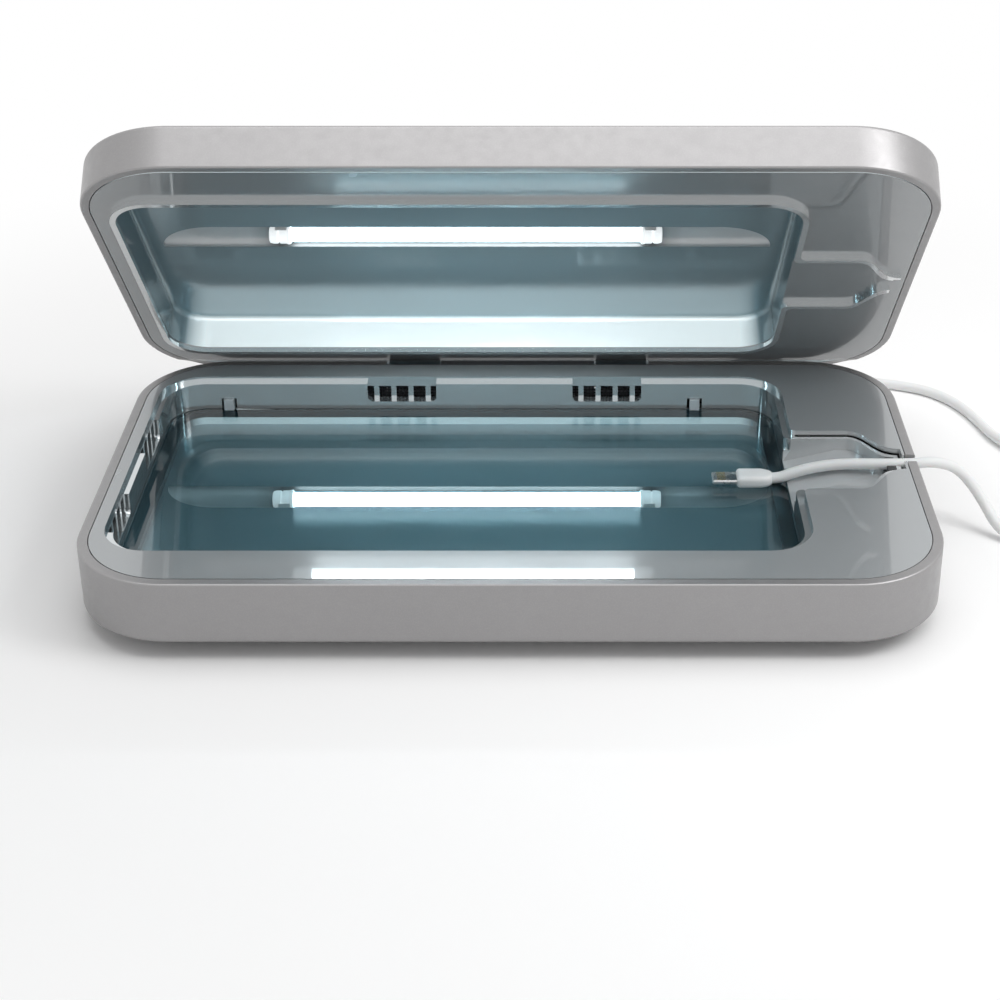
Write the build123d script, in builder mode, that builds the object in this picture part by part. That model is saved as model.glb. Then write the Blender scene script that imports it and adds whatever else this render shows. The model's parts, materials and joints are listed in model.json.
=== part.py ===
from build123d import *
import math
import os

os.makedirs("parts", exist_ok=True)

# A clamshell ultraviolet box for phones, standing open on a table.
# Frame: +X to the user's right, +Y to the rear, +Z up, origin at the middle of the underside pad.
# Lengths in mm, angles in degrees.

# ---------------------------------------------------------------- driving dimensions
# casing
WIDTH = 216.0            # left to right
DEPTH = 126.0            # front to rear
CORNER_R = 25.0          # corners in plan
EDGE_R = 1.2             # rounding of the long outer edges
RIM_R = 0.5              # rounding of the rims' outer edges
SHUT_GAP = 0.3           # between the two rims when the lid is shut
FIT = 0.2                # between a piece and its pocket
LINER_SEAM = 0.25        # groove between a shell and its liner's rim

# base
BASE_H = 21.5            # rim above the table
BASE_WALL = 2.6
BASE_FLOOR = 2.2         # thickness of the shell's underside
BASE_EDGE_H = 16.4       # upright outer wall
BASE_TAPER_RUN = 12.0    # how far the underside draws in
PAD_H = 1.2              # rubber pad
PAD_SINK = 0.4           # part of the pad let into the cover
PAD_BORDER = 16.5        # cover's edge to the pad's
PAD_R = 12.0
OPENING_BORDER = 24.0    # outer face to the edge of the bottom opening
OPENING_R = 5.0
COVER_LEDGE = 8.0        # ledge round the opening that the cover lies on
COVER_T = 1.2
COVER_SCREW_IN = 7.0     # cover screws from the opening's front and rear edges
COVER_BOSS_GAP = 1.2     # under the liner

# lid
LID_OPEN = 48.0          # opening angle it is modelled at
LID_H = 16.4             # rim to the top of the lid
LID_EDGE_H = 11.6        # upright outer wall
LID_WALL = 2.2
LID_TOP = 2.0            # thickness of the top
LID_BEVEL_RUN = 14.0     # width of the shallow bevel round the top

# mirror liners
RIM_T = 1.4              # flat rim of a liner
LINER_T = 1.2            # other walls of a liner
LEDGE_W = 1.2            # ledge inside a shell that carries the liner's rim
LEDGE_H = 2.0

# base chamber
LEFT_BORDER = 6.0        # outer face to the chamber's opening
RIGHT_BORDER = 32.0
FRONT_BORDER = 16.0
REAR_BORDER = 11.0
CHAMBER_R = 12.0
STEP_W = 2.0             # seat for the lid's lip round the chamber
STEP_H = 1.5
CHAMBER_DEPTH = 13.7     # rim to the reflector's floor
PLATE_LEDGE_W = 4.0      # ledge that the clear plate lies on
POCKET_DEPTH = 8.2       # depth over which the chamber's wall is thick

# cord channel in the base's rim
CHANNEL_Y = 1.1
CHANNEL_HALF = 16.4
CHANNEL_RUN = 15.0       # chamber to where the channel begins to narrow
CHANNEL_TIP_IN = 3.6     # outer face to the channel's end
CHANNEL_TIP_HALF = 5.6
CHANNEL_DEPTH = 5.0
MOUTH_DEPTH = 8.5        # depth of the ramp where it meets the chamber
MOUTH_RUN = 12.0         # length of the ramp
MOUTH_R = 2.0
CORD_D = 3.0
CORD_Y = 1.6
CORD_DROP = 1.9          # cord's axis below the rim, where it leaves
SLOT_W = 3.8             # slot for the cord in the shell

# lip on the lid that closes into the step
LIP_W = 1.5
LIP_H = 1.4
LIP_SIDE_GAP = 0.6       # at the left, right and front
LIP_REAR_GAP = 4.2       # room for the lip to swing back at the rear
LIP_CHANNEL_REAR_GAP = 1.6
LIP_CORD_GAP = 9.0       # opening in the lip over the cord
RECESS_DEPTH = 9.3       # rim to the lid's ceiling
RECESS_DRAFT = 4.0
RECESS_IN_LEFT = 2.2     # chamber's opening to the recess
RECESS_IN_RIGHT = 2.0
RECESS_IN_FRONT = 1.9
RECESS_IN_REAR = 6.0
RECESS_R = 10.0
CEILING_R = 1.6
LID_LINER_T = 1.0

# reflector troughs and lamps
TROUGH_IN_LEFT = 5.0     # recess to the trough's ends
TROUGH_IN_RIGHT = 4.6
TROUGH_W = 11.7
TROUGH_DEPTH = 3.4
TROUGH_END = 14.7        # length over which the front edge curves to the end
TROUGH_WALL = 0.7
LAMP_Y = 2.5             # base lamp
LID_LAMP_Y = -7.2
LAMP_IN_LEFT = 29.4      # trough's ends to the lamp's
LAMP_IN_RIGHT = 29.6
LAMP_D = 3.8
LAMP_SINK = 0.7          # lamp's axis below the reflector's face
CAP_D = 4.8
CAP_L = 5.6
CAP_HOLD = 4.0           # tube inside a cap
CAP_LIP = 0.2
CAP_LIP_L = 0.8
HOLDER_L = 3.2
HOLDER_W = 5.0
HOLDER_IN = 0.4          # holder's middle beyond the cap's

# clear plate over the lower lamp
PLATE_T = 2.0
PLATE_TOP = 9.5          # below the rim
PLATE_GAP = 0.3          # round the plate
CLIP_IN_LEFT = 18.0      # chamber's ends to the clips
CLIP_IN_RIGHT = 24.2
CLIP_W = 2.8
CLIP_SLOT_W = 4.4
CLIP_TOP = 6.1           # below the rim
CLIP_REACH = 1.0
CLIP_BACK_W = 6.0        # plate of the clip behind the wall
CLIP_BACK_T = 0.8
CLIP_BACK_LIFT = 1.4

# vents
VENT_W = 20.0
VENT_IN_LEFT = 68.5      # chamber's sides to the vents' middles
VENT_IN_RIGHT = 49.8
VENT_IN_FRONT = 21.4
VENT_IN_REAR = 35.0
VENT_TOP = 3.0           # window's top below the rim
VENT_BOTTOM = 7.1
VENT_PITCH = 5.0
VENT_BAR = 1.5
VENT_R = 1.8
SCREEN_T = 0.8
SCREEN_HOLE_R = 0.5
SCREEN_PITCH = 1.6
SCREEN_LAP = 2.0         # beyond the windows at each end

# hinge
HINGE_INSET = 3.8        # axis to the rear face
HINGE_DROP = 8.5         # axis below the base's rim
PIN_D = 2.5
PIN_FIT = 0.05           # radial clearance of the turning pin
KNUCKLE_R = 2.8
CENTRE_HALF = 22.6       # half the width of the base's hinge block
ARM_SIDE_GAP = 0.7       # hinge block to the lid's arms
ARM_W = 15.1
NOTCH_GAP = 0.4          # arms to the ends of the cut-out in the base's rear wall
WEB_BACK = 3.6           # rear face of an arm behind the axis
WEB_T = 2.0
WEB_FOOT = 1.6           # where the arm's flat rear face begins, above the axis
STOP_GAP = 0.4           # arm to the stop edge, fully open
HINGE_RELIEF = 3.9       # radius kept clear about the axis in the base
LID_RELIEF = 9.6         # radius kept clear about the axis in the lid
SLEEVE_WALL = 0.9
SLEEVE_L = 14.0

# lid's magnet and light
MAGNET_SIZE = (10.0, 4.0, 2.0)
MAGNET_IN = (18.0, 13.0)         # from the right face and the front face
SENSOR_SIZE = (12.0, 3.0, 2.4)
WINDOW_IN = 25.0                 # from the front face
WINDOW_D = 6.0
WINDOW_FLANGE = 1.5
WINDOW_FLANGE_T = 0.8
LIGHT_BOARD = (14.0, 9.0, 1.2)

# ports in the rear wall
PORT_LIFT = 3.3          # side's bend to the top of the port board
PORT_BEHIND = 1.2        # chamber's wall to the sockets
PORT_SINK = 0.4          # rear face to the sockets' mouths
PORT_BOARD_IN = 2.4      # rear wall to the port board
PORT_BOARD_LAP = 2.0
USB_A_SIZE = (13.1, 5.7)
USB_C_SIZE = (9.0, 3.3)
DC_SIZE = (6.4, 6.4)
DC_BORE = 4.0
DC_PIN_R = 0.6
DC_NOSE = 3.0            # round front of the power inlet
SOCKET_WALL = 0.35
SOCKET_BACK = 0.6
SOCKET_TONGUE = 1.4      # inner tongues stop this far behind the mouths

# boards
BOARD_T = 1.4
CONTROL_Z = 8.0
CONTROL_GAP = 3.9        # control board to the shell's right wall
CONTROL_W = 22.0
CONTROL_END = 21.0       # outer face to the board's front and rear edges
CONTROL_BOSS_IN = 3.6    # boss's middle from the board's edges
SCREW_D = 2.5
SCREW_FIT = 0.05
BOSS_R = 2.8
BOARD_HEAD = (2.1, 1.2)  # board screws' heads: radius, height
BOARD_SCREW_L = 3.0      # below the board
BOSS_CAP = 0.6           # left solid over a screw hole
CROSS = (2.6, 0.6, 0.8)  # cross recess: length, width, depth

# hinge block and arms, in heights and depths from the axis
BLOCK_FRONT = 3.4
BLOCK_FOOT = 5.0
BLOCK_STEP = 4.8
BLOCK_LIFT = 0.4
BLOCK_SCREW_X = 15.0
BLOCK_SCREW_Z = -3.4
ARM_SCREW_IN = 3.7       # arm's ends to its screws
ARM_SCREW_Z = 15.6
TAB_FOOT = 10.4
TAB_ROOT = 2.6           # height over which the tab joins the web
TAB_TOP = 18.1
TAB_FRONT = 0.5
HINGE_SCREW_R = 0.8
HINGE_HEAD = (1.5, 0.9)
HINGE_SCREW_SKIN = 0.8   # wall left outside the screws' holes
SCREW_END = 0.1
ARM_GAP = 0.1            # arm to its notch in the lid

# charging lead
USB_GRIP = (15.0, 19.0, 7.6)
USB_TONGUE = (12.0, 8.6, 4.5)
USB_RELIEF_L = 6.0
PHONE_GRIP = (9.5, 6.4, 3.6)
PHONE_TIP = (6.6, 5.4, 1.4)
PHONE_GRIP_END = 69.8    # X where the cord leaves the grip
PHONE_PLUG_Y = 4.4
COIL_X = 178.0
COIL_Y = 8.5
COIL_R = 20.0            # centre line of the outer turn
COIL_ROWS = 3            # turns side by side
COIL_LAYERS = 2

# ---------------------------------------------------------------- derived places
HINGE_Y = DEPTH / 2 - HINGE_INSET
HINGE_Z = BASE_H - HINGE_DROP
UNDERSIDE = PAD_H - PAD_SINK
TAPER_RISE = BASE_H - BASE_EDGE_H - UNDERSIDE
CHAMBER_LEFT = LEFT_BORDER - WIDTH / 2
CHAMBER_RIGHT = WIDTH / 2 - RIGHT_BORDER
CHAMBER_FRONT = FRONT_BORDER - DEPTH / 2
CHAMBER_REAR = DEPTH / 2 - REAR_BORDER
CHANNEL_STRAIGHT = CHAMBER_RIGHT + CHANNEL_RUN
CHANNEL_TIP = WIDTH / 2 - CHANNEL_TIP_IN
MOUTH_END = CHAMBER_RIGHT + MOUTH_RUN
RECESS_LEFT = CHAMBER_LEFT + RECESS_IN_LEFT
RECESS_RIGHT = CHAMBER_RIGHT - RECESS_IN_RIGHT
RECESS_FRONT = CHAMBER_FRONT + RECESS_IN_FRONT
RECESS_REAR = CHAMBER_REAR - RECESS_IN_REAR
TROUGH_LEFT = RECESS_LEFT + TROUGH_IN_LEFT
TROUGH_RIGHT = RECESS_RIGHT - TROUGH_IN_RIGHT
LAMP_LEFT = TROUGH_LEFT + LAMP_IN_LEFT
LAMP_RIGHT = TROUGH_RIGHT - LAMP_IN_RIGHT
MAGNET_AT = (WIDTH / 2 - MAGNET_IN[0], MAGNET_IN[1] - DEPTH / 2)
WINDOW_AT = (0.0, WINDOW_IN - DEPTH / 2)
CLIP_XS = (CHAMBER_LEFT + CLIP_IN_LEFT, CHAMBER_RIGHT - CLIP_IN_RIGHT)
VENT_REAR_XS = (CHAMBER_LEFT + VENT_IN_LEFT, CHAMBER_RIGHT - VENT_IN_RIGHT)
VENT_SIDE_YS = (CHAMBER_FRONT + VENT_IN_FRONT, CHAMBER_REAR - VENT_IN_REAR)
ARM_IN = CENTRE_HALF + ARM_SIDE_GAP
ARM_OUT = ARM_IN + ARM_W
NOTCH_HALF = ARM_OUT + NOTCH_GAP
ARM_SCREW_XS = (ARM_IN + ARM_SCREW_IN, ARM_OUT - ARM_SCREW_IN)
PORT_Z = BASE_H - BASE_EDGE_H + PORT_LIFT
COVER_BOSS_H = BASE_H - CHAMBER_DEPTH - LINER_T - COVER_BOSS_GAP - UNDERSIDE - COVER_T
CHAMBER_X = (CHAMBER_LEFT + CHAMBER_RIGHT) / 2
CHAMBER_Y = (CHAMBER_FRONT + CHAMBER_REAR) / 2
CHAMBER_W = CHAMBER_RIGHT - CHAMBER_LEFT
CHAMBER_D = CHAMBER_REAR - CHAMBER_FRONT
CORD_Z = BASE_H - CORD_DROP
PLATE_Z = BASE_H - PLATE_TOP

# the ports share out the straight wall between the hinge and the corner
PORT_SPACE = (
    WIDTH / 2 - CORNER_R - NOTCH_HALF - USB_A_SIZE[0] - USB_C_SIZE[0] - DC_SIZE[0]
) / 4
DC_X = NOTCH_HALF + PORT_SPACE + DC_SIZE[0] / 2
USB_C_X = DC_X + DC_SIZE[0] / 2 + PORT_SPACE + USB_C_SIZE[0] / 2
USB_A_X = USB_C_X + USB_C_SIZE[0] / 2 + PORT_SPACE + USB_A_SIZE[0] / 2
PORT_FRONT = CHAMBER_REAR + LINER_T + PORT_BEHIND
PORT_BACK = DEPTH / 2 - BASE_WALL - PORT_BOARD_IN
PORT_BOARD = (DC_X - DC_SIZE[0] / 2 - PORT_BOARD_LAP, USB_A_X + USB_A_SIZE[0] / 2 + PORT_BOARD_LAP)
PORT_BOSS_XS = ((DC_X + USB_C_X) / 2, (USB_C_X + USB_A_X) / 2)

# the bottom cover and the control board
OPENING_W = WIDTH - 2 * OPENING_BORDER
OPENING_D = DEPTH - 2 * OPENING_BORDER
COVER_W = OPENING_W + 2 * COVER_LEDGE
COVER_D = OPENING_D + 2 * COVER_LEDGE
COVER_R = OPENING_R + COVER_LEDGE / 2
COVER_SCREW_X = OPENING_W / 2 + COVER_LEDGE / 2
COVER_SCREW_Y = OPENING_D / 2 - COVER_SCREW_IN
CONTROL_X = WIDTH / 2 - BASE_WALL - CONTROL_GAP - CONTROL_W / 2
CONTROL_D = DEPTH - 2 * CONTROL_END
CONTROL_BOSSES = [
    (CONTROL_X + x * (CONTROL_W / 2 - CONTROL_BOSS_IN), y * (CONTROL_D / 2 - CONTROL_BOSS_IN))
    for x in (-1, 1)
    for y in (-1, 1)
]
BLOCK_SCREWS = ((-BLOCK_SCREW_X, BLOCK_SCREW_Z), (BLOCK_SCREW_X, BLOCK_SCREW_Z))
LID_WALL_IN = HINGE_INSET - LID_WALL
FLOOR_Z = UNDERSIDE + BASE_FLOOR

BASE_RIM = Plane.XY.offset(BASE_H)
BASE_HINGE = Plane((0, HINGE_Y, HINGE_Z))
LID_HINGE = Plane(Location((0, HINGE_Y, HINGE_Z), (-LID_OPEN, 0, 0)))
LID_RIM = Plane(LID_HINGE.location * Location((0, -HINGE_Y, HINGE_DROP + SHUT_GAP)))
STOP_DROP = (
    HINGE_INSET * math.cos(math.radians(LID_OPEN)) - WEB_BACK - STOP_GAP
) / math.sin(math.radians(LID_OPEN))


# ---------------------------------------------------------------- helpers
def across(frame, y):
    """Plane that cuts a frame at y: its x is the frame's x, its y the frame's normal."""
    return Plane(frame.from_local_coords((0, y, 0)), x_dir=frame.x_dir, z_dir=-frame.y_dir)


def end_on(frame, x):
    """Plane that cuts a frame at x: its x is the frame's y, its y the frame's normal."""
    return Plane(frame.from_local_coords((x, 0, 0)), x_dir=frame.y_dir, z_dir=frame.x_dir)


def normal_of(frame):
    return Axis(frame.origin, frame.z_dir)


def save(label, piece):
    """Label a finished sub-part and write it."""
    piece.part.label = label
    export_step(piece.part, f"parts/{label}.step")


def slab(plane, width, depth, radius, height, x=0.0, y=0.0, taper=0.0, mode=Mode.ADD):
    """Rounded slab that stands on a plane."""
    with BuildSketch(plane) as outline:
        with Locations((x, y)):
            RectangleRounded(width, depth, radius)
    extrude(outline.sketch, amount=height, taper=taper, mode=mode)


def bar(plane, width, height, length, x=0.0, y=0.0, mode=Mode.ADD, both=False):
    """Square-cornered bar, centred at x and y on a plane."""
    with BuildSketch(plane) as outline:
        with Locations((x, y)):
            Rectangle(width, height)
    extrude(outline.sketch, amount=length, both=both, mode=mode)


def rod(plane, radius, length, x=0.0, y=0.0, mode=Mode.ADD, both=False):
    """Round rod, centred at x and y on a plane."""
    with BuildSketch(plane) as outline:
        with Locations((x, y)):
            Circle(radius)
    extrude(outline.sketch, amount=length, both=both, mode=mode)


def drawn_in_block(plane, inset, height, run, rise):
    """The casing's outline, inset and raised from a plane, with the edges at the plane drawn in."""
    with BuildPart() as block:
        slab(plane, WIDTH - 2 * inset, DEPTH - 2 * inset, CORNER_R - inset, height)
        foot = block.faces().sort_by(normal_of(plane))[0]
        chamfer(foot.edges(), length=run, length2=rise, reference=foot)
    return block.part


def rim_ring(plane, outer, inner, height):
    """Ring under a rim between two insets of the casing's outline."""
    with BuildSketch(plane) as ring:
        RectangleRounded(WIDTH - 2 * outer, DEPTH - 2 * outer, CORNER_R - outer)
        RectangleRounded(WIDTH - 2 * inner, DEPTH - 2 * inner, CORNER_R - inner, mode=Mode.SUBTRACT)
    extrude(ring.sketch, amount=height)


def well(grow=0.0, sides=0.0, rear=0.0, channel_rear=0.0):
    """Outline of the chamber with its cord channel: sides and rear draw it in, grow moves it out."""
    left = CHAMBER_LEFT + sides - grow
    right = CHAMBER_RIGHT - sides + grow
    front = CHAMBER_FRONT + sides - grow
    back = CHAMBER_REAR - rear + grow
    low = CHANNEL_Y - CHANNEL_HALF + sides - grow
    high = CHANNEL_Y + CHANNEL_HALF - channel_rear + grow
    tip_low = CHANNEL_Y - CHANNEL_TIP_HALF + sides - grow
    tip_high = CHANNEL_Y + CHANNEL_TIP_HALF - channel_rear + grow
    tip = CHANNEL_TIP - sides + grow
    bend = CHANNEL_STRAIGHT + 0.45 * (tip - CHANNEL_STRAIGHT)
    with BuildSketch() as outline:
        with Locations(((left + right) / 2, (front + back) / 2)):
            RectangleRounded(right - left, back - front, CHAMBER_R - sides + grow)
        with BuildLine():
            Line((right - CHAMBER_R, low), (CHANNEL_STRAIGHT, low))
            Bezier((CHANNEL_STRAIGHT, low), (bend, low), (bend, tip_low), (tip, tip_low))
            Line((tip, tip_low), (tip, tip_high))
            Bezier((tip, tip_high), (bend, tip_high), (bend, high), (CHANNEL_STRAIGHT, high))
            Line((CHANNEL_STRAIGHT, high), (right - CHAMBER_R, high))
            Line((right - CHAMBER_R, high), (right - CHAMBER_R, low))
        make_face()
        corners = [
            corner
            for corner in outline.vertices()
            if abs(corner.X - right) < 0.01 and low - 0.01 < corner.Y < high + 0.01
        ]
        fillet(corners, MOUTH_R)
    return outline.sketch


def trough(bed, straight, grow=0.0, mode=Mode.ADD):
    """Trough of a reflector: bed lies on its face, straight is the side of its full-length edge."""
    half = TROUGH_W / 2 + grow
    deep = TROUGH_DEPTH + grow
    left = TROUGH_LEFT - grow
    right = TROUGH_RIGHT + grow
    far = straight * half
    run = TROUGH_END + grow
    with BuildPart() as scoop:
        with BuildSketch(end_on(bed, left)) as section:
            Ellipse(half, deep)
        extrude(section.sketch, amount=right - left)
        with BuildSketch(bed) as outline:
            with BuildLine():
                Line((left, far), (right, far))
                Bezier((right, far), (right, -far * 0.1), (right - run * 0.45, -far), (right - run, -far))
                Line((right - run, -far), (left + run, -far))
                Bezier((left + run, -far), (left + run * 0.45, -far), (left, -far * 0.1), (left, far))
            make_face()
        extrude(outline.sketch, amount=deep + 1, both=True, mode=Mode.INTERSECT)
    add(scoop.part, mode=mode)


def on_wall(x, y, out_x, out_y):
    """Plane on a chamber wall at the base's rim: its y points up, its normal out of the chamber."""
    return Plane((x, y, BASE_H), x_dir=(-out_y, out_x, 0), z_dir=(out_x, out_y, 0))


def vent(plane):
    """Pocket in a chamber wall with a row of windows, cut from a plane on the wall."""
    with BuildSketch(plane) as pocket:
        with Locations((0, -VENT_BOTTOM / 2)):
            Rectangle(VENT_W, VENT_BOTTOM)
        fillet(pocket.vertices().group_by(Axis.Y)[0], VENT_R)
    extrude(pocket.sketch, amount=STEP_W, mode=Mode.SUBTRACT)
    with BuildSketch(plane) as windows:
        with Locations((0, -(VENT_TOP + VENT_BOTTOM) / 2)):
            Rectangle(VENT_W, VENT_BOTTOM - VENT_TOP)
        fillet(windows.vertices().group_by(Axis.Y)[0], VENT_R - 0.2)
        with Locations((0, -(VENT_TOP + VENT_BOTTOM) / 2)):
            with GridLocations(VENT_PITCH, 0, 4, 1):
                Rectangle(VENT_BAR, VENT_BOTTOM, mode=Mode.SUBTRACT)
    extrude(windows.sketch, amount=STEP_W + LINER_T + FIT, mode=Mode.SUBTRACT)


def vent_screen(plane):
    """Fine grille glued behind a vent's windows."""
    columns = int((VENT_W + SCREEN_LAP) / SCREEN_PITCH)
    with BuildSketch(plane.offset(STEP_W + LINER_T)) as grille:
        with Locations((0, -(VENT_TOP + VENT_BOTTOM) / 2)):
            Rectangle(VENT_W + 2 * SCREEN_LAP, VENT_BOTTOM - VENT_TOP + 0.7 * SCREEN_LAP)
            with GridLocations(SCREEN_PITCH, SCREEN_PITCH, columns, 3):
                Circle(SCREEN_HOLE_R, mode=Mode.SUBTRACT)
    extrude(grille.sketch, amount=SCREEN_T)


def screw(plane, length, head_r, head_h, shank_r, x=0.0, y=0.0):
    """Round-headed screw whose head stands on a plane and whose shank goes into it."""
    rod(plane, head_r, head_h, x, y)
    rod(plane, shank_r, -length, x, y)


# ---------------------------------------------------------------- base shell
cavity = drawn_in_block(Plane.XY.offset(FLOOR_Z), BASE_WALL, BASE_H, BASE_TAPER_RUN, TAPER_RISE)

with BuildPart() as base_shell:
    add(drawn_in_block(Plane.XY.offset(UNDERSIDE), 0, BASE_H - UNDERSIDE, BASE_TAPER_RUN, TAPER_RISE))
    brow = base_shell.edges().filter_by(
        lambda edge: abs(edge.center().Z - UNDERSIDE - TAPER_RISE) < 0.01)
    fillet(brow, EDGE_R)
    add(cavity, mode=Mode.SUBTRACT)
    fillet(base_shell.faces().sort_by(Axis.Z)[-1].outer_wire().edges(), RIM_R)
    rim_ring(BASE_RIM.offset(-RIM_T - LEDGE_H), BASE_WALL, BASE_WALL + LEDGE_W, LEDGE_H)
    # opening for the bottom cover, with a rebate that the cover lies in
    slab(Plane.XY, OPENING_W, OPENING_D, OPENING_R, FLOOR_Z, mode=Mode.SUBTRACT)
    slab(Plane.XY, COVER_W, COVER_D, COVER_R, UNDERSIDE + COVER_T, mode=Mode.SUBTRACT)
    # bosses for the cover, the control board and the port board
    with BuildSketch(Plane.XY.offset(UNDERSIDE + COVER_T)):
        with GridLocations(2 * COVER_SCREW_X, 2 * COVER_SCREW_Y, 2, 2):
            Circle(BOSS_R)
    extrude(amount=COVER_BOSS_H)
    with BuildSketch(Plane.XY.offset(UNDERSIDE + COVER_T)):
        with Locations(*CONTROL_BOSSES):
            Circle(BOSS_R)
    extrude(amount=CONTROL_Z - UNDERSIDE - COVER_T)
    with BuildSketch(Plane.XY.offset(FLOOR_Z)):
        with Locations(*[(x, (PORT_FRONT + PORT_BACK) / 2) for x in PORT_BOSS_XS]):
            Circle((PORT_BACK - PORT_FRONT) / 2)
    extrude(amount=PORT_Z - BOARD_T - FLOOR_Z)
    # screw holes
    with BuildSketch(Plane.XY):
        with GridLocations(2 * COVER_SCREW_X, 2 * COVER_SCREW_Y, 2, 2):
            Circle(SCREW_D / 2)
    extrude(amount=UNDERSIDE + COVER_T + COVER_BOSS_H - BOSS_CAP, mode=Mode.SUBTRACT)
    with BuildSketch(Plane.XY.offset(CONTROL_Z)):
        with Locations(*CONTROL_BOSSES):
            Circle(SCREW_D / 2)
    extrude(amount=-(CONTROL_Z - FLOOR_Z), mode=Mode.SUBTRACT)
    # hinge cut-out and the room its knuckles turn in
    bar(end_on(Plane.XY, 0), 2 * BASE_WALL + LEDGE_W, BASE_H, NOTCH_HALF, DEPTH / 2,
        HINGE_Z + STOP_DROP + BASE_H / 2, mode=Mode.SUBTRACT, both=True)
    rod(end_on(BASE_HINGE, 0), HINGE_RELIEF, NOTCH_HALF, mode=Mode.SUBTRACT, both=True)
    for x, z in BLOCK_SCREWS:
        rod(across(BASE_HINGE, HINGE_INSET - BASE_WALL), HINGE_SCREW_R, HINGE_SCREW_SKIN - BASE_WALL, x, z,
            mode=Mode.SUBTRACT)
    # slot that the charging cord leaves by
    with BuildSketch(end_on(BASE_RIM, WIDTH / 2 - 2 * BASE_WALL)):
        with Locations((CORD_Y, -CORD_DROP)):
            Circle(SLOT_W / 2)
        with Locations((CORD_Y, -CORD_DROP / 2)):
            Rectangle(SLOT_W, CORD_DROP)
    extrude(amount=3 * BASE_WALL, mode=Mode.SUBTRACT)
    # ports
    with BuildSketch(across(Plane.XY, DEPTH / 2)):
        with Locations((USB_A_X, PORT_Z + USB_A_SIZE[1] / 2)):
            Rectangle(USB_A_SIZE[0] + 2 * FIT, USB_A_SIZE[1] + 2 * FIT)
        with Locations((USB_C_X, PORT_Z + USB_C_SIZE[1] / 2)):
            SlotOverall(USB_C_SIZE[0] + 2 * FIT, USB_C_SIZE[1] + 2 * FIT)
        with Locations((DC_X, PORT_Z + DC_SIZE[1] / 2)):
            Circle(DC_SIZE[0] / 2 + FIT)
    extrude(amount=2 * BASE_WALL, both=True, mode=Mode.SUBTRACT)
save("base_shell", base_shell)

# ---------------------------------------------------------------- bottom cover
with BuildPart() as bottom_cover:
    slab(Plane.XY.offset(UNDERSIDE), COVER_W - 2 * FIT, COVER_D - 2 * FIT, COVER_R - FIT, COVER_T)
    slab(Plane.XY.offset(UNDERSIDE), COVER_W - 2 * PAD_BORDER + 2 * FIT,
         COVER_D - 2 * PAD_BORDER + 2 * FIT, PAD_R + FIT, PAD_SINK,
         mode=Mode.SUBTRACT)
    with Locations(Plane.XY.offset(UNDERSIDE)):
        with GridLocations(2 * COVER_SCREW_X, 2 * COVER_SCREW_Y, 2, 2):
            with Locations(Location((0, 0, 0), (180, 0, 0))):
                CounterSinkHole(SCREW_D / 2 + FIT / 2, SCREW_D + FIT / 2, depth=COVER_T)
save("bottom_cover", bottom_cover)

with BuildPart() as underside_pad:
    slab(Plane.XY, COVER_W - 2 * PAD_BORDER, COVER_D - 2 * PAD_BORDER, PAD_R, PAD_H)
    fillet(underside_pad.faces().sort_by(Axis.Z)[0].edges(), 0.3)
save("underside_pad", underside_pad)

with BuildPart() as cover_screws:
    for x in (-COVER_SCREW_X, COVER_SCREW_X):
        for y in (-COVER_SCREW_Y, COVER_SCREW_Y):
            with BuildSketch(Plane((x, y, UNDERSIDE), x_dir=(1, 0, 0), z_dir=(0, -1, 0))) as screw_half:
                with BuildLine():
                    shank = SCREW_D / 2 - SCREW_FIT
                    tip = COVER_T + COVER_BOSS_H - BOSS_CAP - SCREW_END
                    head = SCREW_D - 3 * SCREW_FIT
                    Polyline((0, SCREW_END), (head, SCREW_END), (shank, SCREW_END + head - shank),
                             (shank, tip), (0, tip), (0, SCREW_END))
                make_face()
            revolve(axis=Axis((x, y, 0), (0, 0, 1)))
            with BuildSketch(Plane.XY.offset(UNDERSIDE)):
                with Locations((x, y)):
                    Rectangle(CROSS[0], CROSS[1])
                    Rectangle(CROSS[1], CROSS[0])
            extrude(amount=CROSS[2], mode=Mode.SUBTRACT)
save("cover_screws", cover_screws)

# ---------------------------------------------------------------- base liner
LINER_EDGE = BASE_WALL + LINER_SEAM
WALL_GROW = LINER_T - STEP_W
CAVITY_RIGHT = CHAMBER_RIGHT - STEP_W
REAR_WALL = CHAMBER_REAR - STEP_W
FRONT_WALL = CHAMBER_FRONT + STEP_W
LEFT_WALL = CHAMBER_LEFT + STEP_W
BASE_BED = Plane((0, LAMP_Y, BASE_H - CHAMBER_DEPTH))
LID_BED = Plane(LID_RIM.from_local_coords((0, LID_LAMP_Y, RECESS_DEPTH)), x_dir=LID_RIM.x_dir,
                z_dir=-LID_RIM.z_dir)
VENTS_REAR = [on_wall(x, REAR_WALL, 0, 1) for x in VENT_REAR_XS]
VENTS_SIDE = [on_wall(LEFT_WALL, y, -1, 0) for y in VENT_SIDE_YS]
CLIPS = [on_wall(x, REAR_WALL, 0, 1) for x in CLIP_XS] + [on_wall(x, FRONT_WALL, 0, -1) for x in CLIP_XS]

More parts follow.
